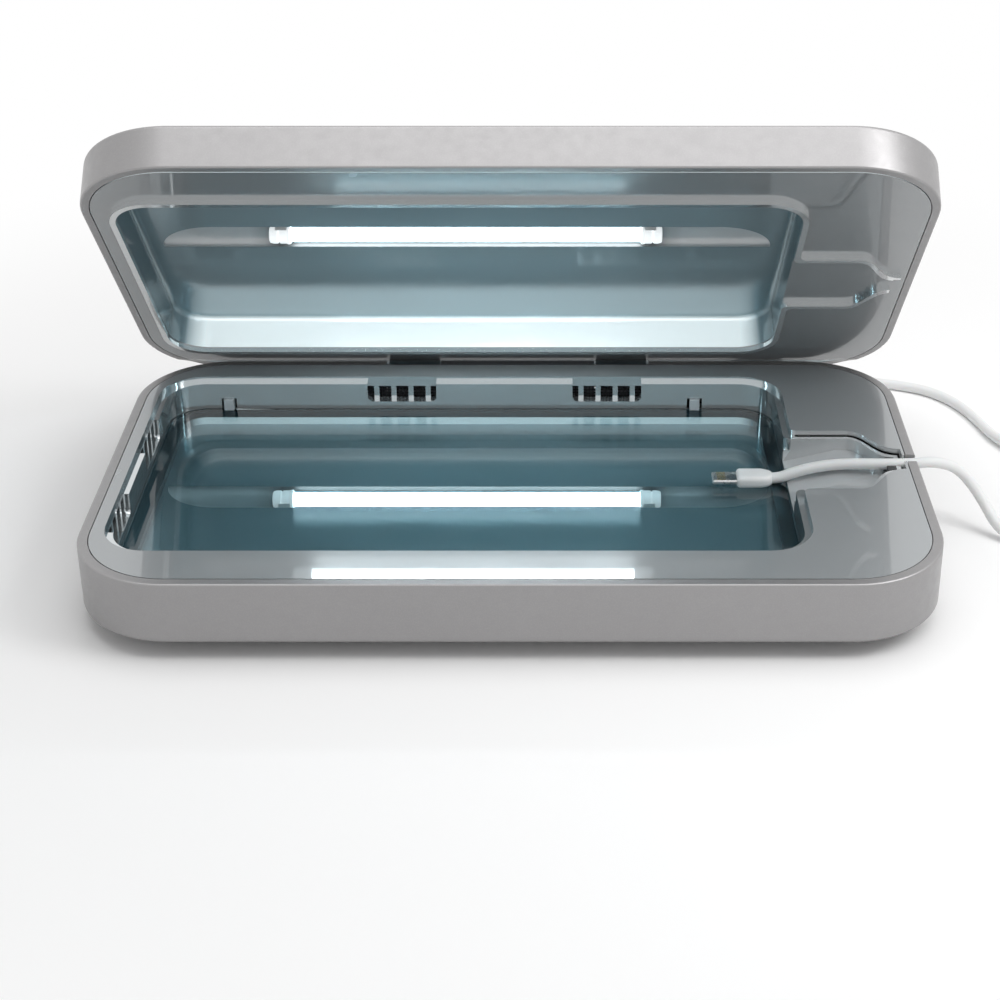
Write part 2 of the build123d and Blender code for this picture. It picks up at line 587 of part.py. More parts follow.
with BuildPart() as base_liner:
    slab(BASE_RIM.offset(-RIM_T), WIDTH - 2 * LINER_EDGE, DEPTH - 2 * LINER_EDGE,
         CORNER_R - LINER_EDGE, RIM_T)
    # thick upper wall round the chamber, thinner wall and floor below it
    slab(BASE_RIM.offset(-POCKET_DEPTH), CHAMBER_W + 2 * LINER_T, CHAMBER_D + 2 * LINER_T,
         CHAMBER_R + LINER_T, POCKET_DEPTH, CHAMBER_X, CHAMBER_Y)
    slab(BASE_RIM.offset(-PLATE_TOP - PLATE_T - LINER_T), CHAMBER_W + 2 * WALL_GROW,
         CHAMBER_D + 2 * WALL_GROW, CHAMBER_R + WALL_GROW, PLATE_TOP, CHAMBER_X, CHAMBER_Y)
    slab(BASE_RIM.offset(-CHAMBER_DEPTH - LINER_T), CHAMBER_W - 2 * PLATE_LEDGE_W + 2 * WALL_GROW,
         CHAMBER_D - 2 * PLATE_LEDGE_W + 2 * WALL_GROW, CHAMBER_R - PLATE_LEDGE_W + WALL_GROW,
         PLATE_T + LINER_T, CHAMBER_X, CHAMBER_Y)
    # cord channel and its ramp
    with BuildSketch(BASE_RIM.offset(-CHANNEL_DEPTH - LINER_T)):
        add(well(WALL_GROW))
    extrude(amount=CHANNEL_DEPTH)
    with BuildSketch(across(BASE_RIM, CHANNEL_Y)):
        Polygon((CAVITY_RIGHT, -MOUTH_DEPTH - LINER_T), (MOUTH_END, -CHANNEL_DEPTH - LINER_T),
                (MOUTH_END, -RIM_T), (CAVITY_RIGHT, -RIM_T), align=None)
    extrude(amount=CHANNEL_HALF + WALL_GROW, both=True)
    trough(BASE_BED, 1, TROUGH_WALL)
    # hollow: step, chamber, lower cavity, channel, ramp, trough
    with BuildSketch(BASE_RIM.offset(-STEP_H)):
        add(well())
    extrude(amount=STEP_H, mode=Mode.SUBTRACT)
    slab(BASE_RIM.offset(-PLATE_TOP - PLATE_T), CHAMBER_W - 2 * STEP_W, CHAMBER_D - 2 * STEP_W,
         CHAMBER_R - STEP_W, CHAMBER_DEPTH, CHAMBER_X, CHAMBER_Y, mode=Mode.SUBTRACT)
    cavity_in = 2 * (STEP_W + PLATE_LEDGE_W)
    slab(BASE_RIM.offset(-CHAMBER_DEPTH), CHAMBER_W - cavity_in, CHAMBER_D - cavity_in,
         CHAMBER_R - cavity_in / 2, CHAMBER_DEPTH, CHAMBER_X, CHAMBER_Y, mode=Mode.SUBTRACT)
    with BuildSketch(BASE_RIM.offset(-CHANNEL_DEPTH)):
        add(well(-STEP_W))
    extrude(amount=CHANNEL_DEPTH, mode=Mode.SUBTRACT)
    with BuildSketch(across(BASE_RIM, CHANNEL_Y)):
        Polygon((CAVITY_RIGHT - 1, -MOUTH_DEPTH), (CAVITY_RIGHT, -MOUTH_DEPTH),
                (MOUTH_END, -CHANNEL_DEPTH), (MOUTH_END, 0), (CAVITY_RIGHT - 1, 0), align=None)
    extrude(amount=CHANNEL_HALF - STEP_W, both=True, mode=Mode.SUBTRACT)
    trough(BASE_BED, 1, mode=Mode.SUBTRACT)
    # slot for the cord
    with BuildSketch(end_on(BASE_RIM, CHANNEL_TIP - STEP_W - 0.5)):
        with Locations((CORD_Y, -CORD_DROP)):
            Circle(SLOT_W / 2)
        with Locations((CORD_Y, -CORD_DROP / 2)):
            Rectangle(SLOT_W, CORD_DROP)
    extrude(amount=WIDTH, mode=Mode.SUBTRACT)
    # vents and clip slots
    for plane in VENTS_REAR + VENTS_SIDE:
        vent(plane)
    for plane in CLIPS:
        bar(plane, CLIP_SLOT_W, PLATE_TOP - CLIP_TOP, STEP_W + LINER_T + FIT,
            y=-(PLATE_TOP + CLIP_TOP) / 2, mode=Mode.SUBTRACT)
save("base_liner", base_liner)

with BuildPart() as clear_plate:
    inset = STEP_W + PLATE_GAP
    slab(BASE_RIM.offset(-PLATE_TOP - PLATE_T), CHAMBER_W - 2 * inset, CHAMBER_D - 2 * inset,
         CHAMBER_R - inset, PLATE_T, CHAMBER_X, CHAMBER_Y)
save("clear_plate", clear_plate)

with BuildPart() as plate_clips:
    for plane in CLIPS:
        bar(plane.offset(-CLIP_REACH), CLIP_W, PLATE_TOP - CLIP_TOP - FIT,
            CLIP_REACH + STEP_W + LINER_T, y=-(PLATE_TOP + CLIP_TOP + FIT) / 2)
        bar(plane.offset(STEP_W + LINER_T), CLIP_BACK_W, PLATE_TOP - CLIP_TOP, CLIP_BACK_T,
            y=-(PLATE_TOP + CLIP_TOP) / 2 + CLIP_BACK_LIFT)
save("plate_clips", plate_clips)

with BuildPart() as rear_vent_screens:
    for plane in VENTS_REAR:
        vent_screen(plane)
save("rear_vent_screens", rear_vent_screens)

with BuildPart() as side_vent_screens:
    for plane in VENTS_SIDE:
        vent_screen(plane)
save("side_vent_screens", side_vent_screens)

with BuildPart() as cord_gasket:
    tip = CHANNEL_TIP - STEP_W
    bar(end_on(BASE_RIM, tip - 2.4), 2 * (CHANNEL_TIP_HALF - STEP_W), CHANNEL_DEPTH - STEP_H, 2.4,
        CHANNEL_Y, -(CHANNEL_DEPTH + STEP_H) / 2)
    with BuildSketch(end_on(BASE_RIM, tip - 3)):
        with Locations((CORD_Y, -CORD_DROP - 0.2)):
            Circle(CORD_D / 2 + 0.25)
        with Locations((CORD_Y, -CORD_DROP / 2)):
            Rectangle(CORD_D + 0.5, CORD_DROP + 0.4)
    extrude(amount=4, mode=Mode.SUBTRACT)
save("cord_gasket", cord_gasket)


# ---------------------------------------------------------------- lamps
def lamp_tube(plane):
    """Glass tube whose ends lie inside the caps: plane runs along the trough."""
    rod(end_on(plane, LAMP_LEFT + CAP_L - CAP_HOLD), LAMP_D / 2,
        LAMP_RIGHT - LAMP_LEFT - 2 * (CAP_L - CAP_HOLD))


def lamp_caps(plane):
    for end, way in ((LAMP_LEFT, 1), (LAMP_RIGHT, -1)):
        rod(end_on(plane, end), CAP_D / 2, way * CAP_L)
        rod(end_on(plane, end), CAP_D / 2 + CAP_LIP, way * CAP_LIP_L)
        rod(end_on(plane, end + way * (CAP_L - CAP_HOLD)), LAMP_D / 2, way * CAP_HOLD, mode=Mode.SUBTRACT)


def lamp_holder(bed, straight, x):
    """Saddle under a cap, shaped to the trough and cut off level with the lamp's axis."""
    with BuildPart() as holder:
        trough(bed, straight)
        with BuildSketch(end_on(bed, x)) as keep:
            with Locations((0, -LAMP_SINK - TROUGH_DEPTH)):
                Rectangle(HOLDER_W, 2 * TROUGH_DEPTH)
        extrude(keep.sketch, amount=HOLDER_L / 2, both=True, mode=Mode.INTERSECT)
        rod(end_on(bed, x), CAP_D / 2, HOLDER_L, y=-LAMP_SINK, mode=Mode.SUBTRACT, both=True)
    return holder.part


BASE_LAMP = BASE_BED.offset(-LAMP_SINK)
LID_LAMP = LID_BED.offset(-LAMP_SINK)
HOLDER_XS = (LAMP_LEFT + CAP_L / 2 + HOLDER_IN, LAMP_RIGHT - CAP_L / 2 - HOLDER_IN)

with BuildPart() as base_lamp:
    lamp_tube(BASE_LAMP)
save("base_lamp", base_lamp)

with BuildPart() as base_lamp_caps:
    lamp_caps(BASE_LAMP)
save("base_lamp_caps", base_lamp_caps)

with BuildPart() as base_lamp_holders:
    for x in HOLDER_XS:
        add(lamp_holder(BASE_BED, 1, x))
save("base_lamp_holders", base_lamp_holders)

# ---------------------------------------------------------------- electronics in the base
CHIPS = (        # x, y from the control board's front or rear edge, width, depth, height
    (-2.0, 20.0, 9.0, 9.0, 1.4),
    (5.5, 12.0, 5.0, 4.0, 1.6),
    (-6.0, -16.0, 6.0, 5.0, 1.8),
    (6.0, -15.0, 6.0, 8.0, 4.5),
    (-7.0, 33.0, 4.0, 3.0, 1.2),
)
TRANSFORMER_AT = (6.0, -9.0)
TRANSFORMER_W = 9.0
TRANSFORMER_D = 14.0
TRANSFORMER_GAP = 1.3    # under the channel
TRANSFORMER_T = 1.0      # its core's top and bottom plates

with BuildPart() as control_board:
    bar(Plane.XY.offset(CONTROL_Z), CONTROL_W, CONTROL_D, BOARD_T, CONTROL_X)
    for x, y in CONTROL_BOSSES:
        rod(Plane.XY.offset(CONTROL_Z), SCREW_D / 2 + SCREW_FIT, BOARD_T, x, y, mode=Mode.SUBTRACT)
save("control_board", control_board)

with BuildPart() as board_chips:
    for x, y, width, depth, height in CHIPS:
        edge = -CONTROL_D / 2 if y > 0 else CONTROL_D / 2
        bar(Plane.XY.offset(CONTROL_Z + BOARD_T), width, depth, height, CONTROL_X + x, edge + y)
save("board_chips", board_chips)

with BuildPart() as lamp_transformer:
    foot = CONTROL_Z + BOARD_T
    top = BASE_H - CHANNEL_DEPTH - LINER_T - TRANSFORMER_GAP
    x, y = CONTROL_X + TRANSFORMER_AT[0], TRANSFORMER_AT[1]
    bar(Plane.XY.offset(foot), TRANSFORMER_W, TRANSFORMER_D, TRANSFORMER_T, x, y)
    bar(Plane.XY.offset(foot), TRANSFORMER_W - 2, TRANSFORMER_D - 3, top - foot, x, y)
    bar(Plane.XY.offset(top), TRANSFORMER_W, TRANSFORMER_D, -TRANSFORMER_T, x, y)
save("lamp_transformer", lamp_transformer)

with BuildPart() as port_board:
    left, right = PORT_BOARD
    bar(Plane.XY.offset(PORT_Z - BOARD_T), right - left, PORT_BACK - PORT_FRONT, BOARD_T,
        (left + right) / 2, (PORT_BACK + PORT_FRONT) / 2)
save("port_board", port_board)

with BuildPart() as board_screws:
    for x, y in CONTROL_BOSSES:
        screw(Plane.XY.offset(CONTROL_Z + BOARD_T), BOARD_T + BOARD_SCREW_L, *BOARD_HEAD,
              SCREW_D / 2 - SCREW_FIT, x, y)
save("board_screws", board_screws)

with BuildPart() as reed_sensor:
    bar(BASE_RIM.offset(-RIM_T), SENSOR_SIZE[0], SENSOR_SIZE[1], -SENSOR_SIZE[2], *MAGNET_AT)
save("reed_sensor", reed_sensor)

# ---------------------------------------------------------------- ports
SOCKET_L = DEPTH / 2 - PORT_SINK - PORT_FRONT
PORTS = Plane((0, DEPTH / 2 - PORT_SINK, PORT_Z), x_dir=(1, 0, 0), z_dir=(0, -1, 0))

with BuildPart() as usb_a_socket:
    width, height = USB_A_SIZE
    bar(PORTS, width, height, SOCKET_L, USB_A_X, height / 2)
    bar(PORTS, width - 2 * SOCKET_WALL, height - 2 * SOCKET_WALL, SOCKET_L - SOCKET_BACK, USB_A_X,
        height / 2, mode=Mode.SUBTRACT)
save("usb_a_socket", usb_a_socket)

with BuildPart() as usb_a_tongue:
    width, height = USB_A_SIZE
    bar(PORTS.offset(SOCKET_L - SOCKET_BACK), width - 2.4, height / 4, SOCKET_TONGUE + SOCKET_BACK - SOCKET_L,
        USB_A_X, height * 2 / 3)
save("usb_a_tongue", usb_a_tongue)

with BuildPart() as usb_c_socket:
    width, height = USB_C_SIZE
    with BuildSketch(PORTS):
        with Locations((USB_C_X, height / 2)):
            SlotOverall(width, height)
    extrude(amount=SOCKET_L)
    with BuildSketch(PORTS):
        with Locations((USB_C_X, height / 2)):
            SlotOverall(width - 2 * SOCKET_WALL, height - 2 * SOCKET_WALL)
    extrude(amount=SOCKET_L - SOCKET_BACK, mode=Mode.SUBTRACT)
    bar(PORTS.offset(SOCKET_L - SOCKET_BACK), width - 2.6, height / 4, SOCKET_TONGUE + SOCKET_BACK - SOCKET_L,
        USB_C_X, height / 2)
save("usb_c_socket", usb_c_socket)

with BuildPart() as dc_inlet:
    width, height = DC_SIZE
    rod(PORTS, width / 2, DC_NOSE, DC_X, height / 2)
    bar(PORTS.offset(DC_NOSE), width, height, SOCKET_L - DC_NOSE, DC_X, height / 2)
    rod(PORTS, DC_BORE / 2, SOCKET_L - SOCKET_BACK, DC_X, height / 2, mode=Mode.SUBTRACT)
    rod(PORTS.offset(SOCKET_L - SOCKET_BACK), DC_PIN_R, SOCKET_TONGUE + SOCKET_BACK - SOCKET_L, DC_X, height / 2)
save("dc_inlet", dc_inlet)

# ---------------------------------------------------------------- hinge
with BuildPart() as hinge_block:
    with BuildSketch(end_on(BASE_HINGE, -CENTRE_HALF)):
        Polygon((-BLOCK_FRONT, -BLOCK_FOOT), (HINGE_INSET - BASE_WALL, -BLOCK_FOOT),
                (HINGE_INSET - BASE_WALL, STOP_DROP + BLOCK_LIFT), (WEB_BACK, STOP_DROP + BLOCK_LIFT),
                (WEB_BACK, HINGE_DROP), (HINGE_INSET - LINER_EDGE + BLOCK_LIFT, HINGE_DROP),
                (HINGE_INSET - LINER_EDGE + BLOCK_LIFT, BLOCK_STEP), (-BLOCK_FRONT, BLOCK_STEP), align=None)
    extrude(amount=2 * CENTRE_HALF)
    rod(end_on(BASE_HINGE, -CENTRE_HALF), PIN_D / 2 + PIN_FIT, 2 * CENTRE_HALF, mode=Mode.SUBTRACT)
    rod(end_on(BASE_HINGE, -CENTRE_HALF), PIN_D / 2 + PIN_FIT + SLEEVE_WALL, SLEEVE_L, mode=Mode.SUBTRACT)
    for x, z in BLOCK_SCREWS:
        rod(across(BASE_HINGE, -BLOCK_FRONT), HINGE_SCREW_R + SCREW_FIT, -2 * BLOCK_FRONT - BASE_WALL, x, z,
            mode=Mode.SUBTRACT)
save("hinge_block", hinge_block)

with BuildPart() as hinge_friction_sleeve:
    rod(end_on(BASE_HINGE, -CENTRE_HALF), PIN_D / 2 + PIN_FIT + SLEEVE_WALL, SLEEVE_L)
    rod(end_on(BASE_HINGE, -CENTRE_HALF), PIN_D / 2 + PIN_FIT, SLEEVE_L, mode=Mode.SUBTRACT)
save("hinge_friction_sleeve", hinge_friction_sleeve)

with BuildPart() as hinge_block_screws:
    for x, z in BLOCK_SCREWS:
        screw(across(BASE_HINGE, -BLOCK_FRONT), BLOCK_FRONT + HINGE_INSET - HINGE_SCREW_SKIN - SCREW_END,
              *HINGE_HEAD, HINGE_SCREW_R, x, z)
save("hinge_block_screws", hinge_block_screws)

with BuildPart() as hinge_pin:
    rod(end_on(LID_HINGE, -ARM_OUT + 1.0), PIN_D / 2, 2 * (ARM_OUT - 1.0))
save("hinge_pin", hinge_pin)


def hinge_arm(x):
    """Arm of the lid: a knuckle on the pin, a web up through the lid's wall and a tab screwed to it."""
    reach = math.hypot(WEB_BACK, WEB_FOOT)
    turn = math.atan2(WEB_FOOT, WEB_BACK) - math.acos(KNUCKLE_R / reach)
    touch = (KNUCKLE_R * math.cos(turn), KNUCKLE_R * math.sin(turn))
    with BuildPart() as arm:
        with BuildSketch(end_on(LID_HINGE, x)) as section:
            Circle(KNUCKLE_R)
            Polygon((0, 0), touch, (WEB_BACK, WEB_FOOT), (WEB_BACK, TAB_FOOT + TAB_ROOT),
                    (LID_WALL_IN, TAB_FOOT + TAB_ROOT), (LID_WALL_IN, TAB_TOP), (-TAB_FRONT, TAB_TOP),
                    (-TAB_FRONT, TAB_FOOT), (WEB_BACK - WEB_T, TAB_FOOT), (WEB_BACK - WEB_T, 0), align=None)
            Circle(PIN_D / 2, mode=Mode.SUBTRACT)
        extrude(section.sketch, amount=ARM_OUT - ARM_IN)
        for place in ARM_SCREW_XS:
            side = place if x > 0 else -place
            rod(across(LID_HINGE, 0), HINGE_SCREW_R + SCREW_FIT, DEPTH, side, ARM_SCREW_Z,
                mode=Mode.SUBTRACT, both=True)
    return arm.part


with BuildPart() as hinge_arm_left:
    add(hinge_arm(-ARM_OUT))
save("hinge_arm_left", hinge_arm_left)

with BuildPart() as hinge_arm_right:
    add(hinge_arm(ARM_IN))
save("hinge_arm_right", hinge_arm_right)

with BuildPart() as hinge_arm_screws:
    for place in ARM_SCREW_XS:
        for x in (-place, place):
            screw(across(LID_HINGE, -TAB_FRONT), TAB_FRONT + HINGE_INSET - HINGE_SCREW_SKIN - SCREW_END,
                  *HINGE_HEAD, HINGE_SCREW_R, x, ARM_SCREW_Z)
save("hinge_arm_screws", hinge_arm_screws)

# ---------------------------------------------------------------- lid shell
LID_CROWN = Plane(LID_RIM.from_local_coords((0, 0, LID_H)), x_dir=LID_RIM.x_dir, z_dir=-LID_RIM.z_dir)
LID_RISE = LID_H - LID_EDGE_H
NOTCH_IN = ARM_IN - ARM_GAP
NOTCH_OUT = ARM_OUT + ARM_GAP

with BuildPart() as lid_shell:
    add(drawn_in_block(LID_CROWN, 0, LID_H, LID_BEVEL_RUN, LID_RISE))
    by_height = lid_shell.edges().group_by(normal_of(LID_RIM))
    fillet(by_height[-1], 3.0)
    brow = lid_shell.edges().filter_by(
        lambda edge: abs(LID_RIM.to_local_coords(edge.center()).Z - LID_EDGE_H) < 0.01)
    fillet(brow, EDGE_R)
    add(drawn_in_block(LID_CROWN.offset(LID_TOP), LID_WALL, LID_H, LID_BEVEL_RUN, LID_RISE),
        mode=Mode.SUBTRACT)
    foot = lid_shell.faces().sort_by(normal_of(LID_RIM))[0]
    fillet(foot.outer_wire().edges(), RIM_R)
    rim_ring(LID_RIM.offset(RIM_T), LID_WALL, LID_WALL + LEDGE_W, LEDGE_H)
    # arms' notches, the base's swing, screw holes, window
    for x in (-1, 1):
        bar(end_on(LID_RIM, x * NOTCH_IN), 2 * (LID_WALL + LEDGE_W + ARM_GAP),
            2 * (TAB_FOOT + TAB_ROOT + FIT - HINGE_DROP - SHUT_GAP), x * (NOTCH_OUT - NOTCH_IN), DEPTH / 2, 0,
            mode=Mode.SUBTRACT)
        for place in ARM_SCREW_XS:
            rod(across(LID_HINGE, 0), HINGE_SCREW_R, HINGE_SCREW_SKIN - HINGE_INSET, x * place, ARM_SCREW_Z,
                mode=Mode.SUBTRACT)
    rod(end_on(LID_HINGE, 0), LID_RELIEF, WIDTH, mode=Mode.SUBTRACT, both=True)
    rod(LID_RIM, WINDOW_D / 2 + FIT / 2, 2 * LID_H, *WINDOW_AT, mode=Mode.SUBTRACT)
save("lid_shell", lid_shell)

# ---------------------------------------------------------------- lid liner
LID_LINER_EDGE = LID_WALL + LINER_SEAM

def recess(grow, reach, mode):
    """The lid's drafted recess, grown by a wall and reaching past the rim."""
    draw_in = RECESS_DEPTH * math.tan(math.radians(RECESS_DRAFT))
    middle = ((RECESS_LEFT + RECESS_RIGHT) / 2, (RECESS_FRONT + RECESS_REAR) / 2, RECESS_DEPTH + grow)
    ceiling = Plane(LID_RIM.from_local_coords(middle), x_dir=LID_RIM.x_dir, z_dir=-LID_RIM.z_dir)
    with BuildPart() as form:
        slab(ceiling, RECESS_RIGHT - RECESS_LEFT - 2 * draw_in + 2 * grow,
             RECESS_REAR - RECESS_FRONT - 2 * draw_in + 2 * grow, RECESS_R + grow,
             RECESS_DEPTH + grow + reach, taper=-RECESS_DRAFT)
        fillet(form.faces().sort_by(normal_of(LID_RIM))[-1].edges(), CEILING_R + grow)
    add(form.part, mode=mode)


with BuildPart() as lid_liner:
    slab(LID_RIM, WIDTH - 2 * LID_LINER_EDGE, DEPTH - 2 * LID_LINER_EDGE, CORNER_R - LID_LINER_EDGE, RIM_T)
    recess(LID_LINER_T, 0, Mode.ADD)
    trough(LID_BED, -1, TROUGH_WALL)
    recess(0, 2 * TROUGH_DEPTH, Mode.SUBTRACT)
    trough(LID_BED, -1, mode=Mode.SUBTRACT)
    with BuildSketch(LID_RIM) as lip:
        add(well(0, LIP_SIDE_GAP, LIP_REAR_GAP, LIP_CHANNEL_REAR_GAP))
        add(well(-LIP_W, LIP_SIDE_GAP, LIP_REAR_GAP, LIP_CHANNEL_REAR_GAP), mode=Mode.SUBTRACT)
        with Locations((CHANNEL_TIP, CORD_Y)):
            Rectangle(2 * LIP_W + 2, LIP_CORD_GAP, mode=Mode.SUBTRACT)
    extrude(amount=-LIP_H)
    rod(end_on(LID_HINGE, 0), LID_RELIEF, WIDTH, mode=Mode.SUBTRACT, both=True)
save("lid_liner", lid_liner)

with BuildPart() as lid_lamp:
    lamp_tube(LID_LAMP)
save("lid_lamp", lid_lamp)

with BuildPart() as lid_lamp_caps:
    lamp_caps(LID_LAMP)
save("lid_lamp_caps", lid_lamp_caps)

with BuildPart() as lid_lamp_holders:
    for x in HOLDER_XS:
        add(lamp_holder(LID_BED, -1, x))
save("lid_lamp_holders", lid_lamp_holders)

# ---------------------------------------------------------------- lid's magnet and light
with BuildPart() as lid_magnet:
    bar(LID_RIM.offset(RIM_T), *MAGNET_SIZE, *MAGNET_AT)
save("lid_magnet", lid_magnet)

with BuildPart() as indicator_window:
    rod(LID_RIM.offset(LID_H - LID_TOP), WINDOW_D / 2, LID_TOP + 0.2, *WINDOW_AT)
    rod(LID_RIM.offset(LID_H - LID_TOP), WINDOW_D / 2 + WINDOW_FLANGE, -WINDOW_FLANGE_T, *WINDOW_AT)
save("indicator_window", indicator_window)

with BuildPart() as indicator_board:
    bar(LID_RIM.offset(LID_H - LID_TOP - WINDOW_FLANGE_T), LIGHT_BOARD[0], LIGHT_BOARD[1],
        -LIGHT_BOARD[2], *WINDOW_AT)
save("indicator_board", indicator_board)

# ---------------------------------------------------------------- charging lead
PLUG_Z = PORT_Z + USB_A_SIZE[1] / 2
GRIP_FACE = DEPTH / 2 + 0.3
GRIP_BACK = GRIP_FACE + USB_GRIP[1]
CORD_START = GRIP_BACK + USB_RELIEF_L - 4.0
PLUGS = Plane((USB_A_X, GRIP_FACE, PLUG_Z), x_dir=(-1, 0, 0), z_dir=(0, 1, 0))
COIL_TOP_Z = CORD_D * (COIL_LAYERS - 0.5)
COIL_FOOT_Z = CORD_D / 2
CORD_LIE = CORD_D / 2            # cord's axis where it lies on the table

REAR_RUN = (
    (USB_A_X, CORD_START, PLUG_Z),
    (USB_A_X, CORD_START + 7.2, PLUG_Z),
    (75.5, 98.5, 8.6),
    (83.0, 101.5, 4.6),
    (92.0, 99.5, 1.9),
    (103.0, 93.0, CORD_LIE),
    (112.0, 89.0, CORD_LIE),
    (119.5, 87.0, CORD_LIE),
    (127.5, 83.0, CORD_LIE),
    (134.0, 75.0, CORD_LIE),
    (138.2, 64.0, CORD_LIE),
    (141.2, 50.0, 2.0),
    (150.5, 35.8, 3.6),
    (163.5, COIL_Y + COIL_R, COIL_TOP_Z),
    (COIL_X, COIL_Y + COIL_R, COIL_TOP_Z),
)
PLUG_END = (PHONE_GRIP_END, PHONE_PLUG_Y, BASE_H - PLATE_TOP + PHONE_GRIP[2] / 2)
FRONT_RUN = (
    (COIL_X, COIL_Y - COIL_R, COIL_FOOT_Z),
    (162.0, -12.7, CORD_LIE),
    (148.0, -13.0, CORD_LIE),
    (137.0, -9.6, CORD_LIE),
    (130.8, -4.2, 2.6),
    (126.6, 2.4, 9.4),
    (120.6, 4.6, 16.8),
    (113.2, 2.4, 20.1),
    (107.6, CORD_Y, 19.7),
    (100.0, CORD_Y, 19.6),
    (91.5, 2.6, 19.2),
    (85.6, 3.5, 18.4),
    (80.2, 4.1, 17.1),
    (75.4, 4.3, 15.5),
    (72.2, PHONE_PLUG_Y, PLUG_END[2] + 0.1),
    PLUG_END,
)


def corner_radii(points):
    """Radius of each corner of a run: 0.45 of the shorter side, over the tangent of half the turn."""
    radii = []
    for before, corner, after in zip(points, points[1:], points[2:]):
        first = Vector(*corner) - Vector(*before)
        second = Vector(*after) - Vector(*corner)
        turn = math.radians(first.get_angle(second))
        radii.append(0.45 * min(first.length, second.length) / math.tan(turn / 2))
    return radii


def cord_run(points, name):
    """Round cord along a route with rounded corners."""
    radii = corner_radii(points)
    with BuildPart() as run:
        with BuildLine() as route:
            FilletPolyline(*points, radius=radii)
        path = route.wires()[0]
        with BuildSketch(Plane(path @ 0, z_dir=path % 0)) as section:
            Circle(CORD_D / 2)
        sweep(section.sketch, path=path)
    print(name, "length", round(path.length, 1), "radii", [round(radius, 1) for radius in radii])
    return run.part


with BuildPart() as lead_coil:
    with BuildSketch() as ring:
        with Locations((COIL_X, COIL_Y)):
            Circle(COIL_R + CORD_D / 2)
            Circle(COIL_R + CORD_D / 2 - COIL_ROWS * CORD_D, mode=Mode.SUBTRACT)
    extrude(amount=COIL_LAYERS * CORD_D)
    fillet(lead_coil.edges(), 1.2)
save("lead_coil", lead_coil)

with BuildPart() as lead_rear_run:
    add(cord_run(REAR_RUN, "lead_rear_run"))
    add(lead_coil.part, mode=Mode.SUBTRACT)
save("lead_rear_run", lead_rear_run)

with BuildPart() as lead_front_run:
    add(cord_run(FRONT_RUN, "lead_front_run"))
    add(lead_coil.part, mode=Mode.SUBTRACT)
save("lead_front_run", lead_front_run)

with BuildPart() as usb_plug_shell:
    width, depth, height = USB_TONGUE
    bar(PLUGS, width, height, -depth + 1.0)
    bar(PLUGS, width - 0.7, height - 0.7, -depth + 1.0, mode=Mode.SUBTRACT)
save("usb_plug_shell", usb_plug_shell)

with BuildPart() as usb_plug_body:
    width, depth, height = USB_GRIP
    slab(PLUGS, width, height, 2.6, depth)
    fillet(usb_plug_body.faces().sort_by(Axis.Y)[-1].edges(), 1.6)
    with BuildSketch(PLUGS.offset(depth - 0.5)):
        Circle(CORD_D / 2 + 1.2)
    extrude(amount=USB_RELIEF_L + 0.5, taper=6)
    rod(Plane((USB_A_X, CORD_START, PLUG_Z), z_dir=(0, 1, 0)), CORD_D / 2, 6.0, mode=Mode.SUBTRACT)
    inner_w, inner_l, inner_h = USB_TONGUE[0] - 0.7, USB_TONGUE[1] - 1.4, 1.6
    bar(PLUGS, inner_w, inner_h, -inner_l, y=-(USB_TONGUE[2] - 0.7 - inner_h) / 2)
save("usb_plug_body", usb_plug_body)

PHONE_PLUG = Plane((PHONE_GRIP_END, PHONE_PLUG_Y, BASE_H - PLATE_TOP + PHONE_GRIP[2] / 2),
                   x_dir=(0, 1, 0), z_dir=(-1, 0, 0))
with BuildPart() as phone_plug_grip:
    length, width, height = PHONE_GRIP
    slab(PHONE_PLUG, width, height, 1.3, length)
save("phone_plug_grip", phone_plug_grip)

with BuildPart() as phone_plug_tip:
    length, width, height = PHONE_TIP
    slab(PHONE_PLUG.offset(PHONE_GRIP[0]), width, height, 0.65, length)
save("phone_plug_tip", phone_plug_tip)
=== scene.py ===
"""Looks of a sanitising box for phones: silver casing, mirror liners, two lamps and a charging lead."""

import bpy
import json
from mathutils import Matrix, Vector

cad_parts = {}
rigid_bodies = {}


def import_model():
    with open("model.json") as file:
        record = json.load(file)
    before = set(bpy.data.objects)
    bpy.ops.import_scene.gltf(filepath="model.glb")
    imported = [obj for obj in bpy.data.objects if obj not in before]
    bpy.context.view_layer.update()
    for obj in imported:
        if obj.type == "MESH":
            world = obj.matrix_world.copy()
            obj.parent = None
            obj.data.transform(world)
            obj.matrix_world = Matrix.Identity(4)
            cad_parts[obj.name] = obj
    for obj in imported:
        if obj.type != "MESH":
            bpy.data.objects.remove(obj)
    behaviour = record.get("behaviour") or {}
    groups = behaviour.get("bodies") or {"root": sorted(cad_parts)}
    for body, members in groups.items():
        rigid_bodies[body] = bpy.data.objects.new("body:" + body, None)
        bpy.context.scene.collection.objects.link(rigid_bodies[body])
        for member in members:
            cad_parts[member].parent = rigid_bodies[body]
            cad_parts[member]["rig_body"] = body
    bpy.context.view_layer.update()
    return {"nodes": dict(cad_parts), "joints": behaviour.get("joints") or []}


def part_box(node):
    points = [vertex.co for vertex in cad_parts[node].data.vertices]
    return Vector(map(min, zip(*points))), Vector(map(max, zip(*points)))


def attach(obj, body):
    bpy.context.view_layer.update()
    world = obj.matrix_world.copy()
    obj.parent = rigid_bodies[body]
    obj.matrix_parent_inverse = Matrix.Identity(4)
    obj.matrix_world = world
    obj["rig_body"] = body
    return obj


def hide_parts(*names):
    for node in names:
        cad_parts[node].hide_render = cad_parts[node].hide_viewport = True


bl_info = {
    "name": "Phone Sanitising Box",
    "version": (1, 0, 0),
    "blender": (4, 5, 0),
    "location": "View3D > Sidebar > Phone Box",
    "description": "Builds the finished surfaces and fine parts of a lamp-lit box for phones",
    "category": "Add Mesh",
}

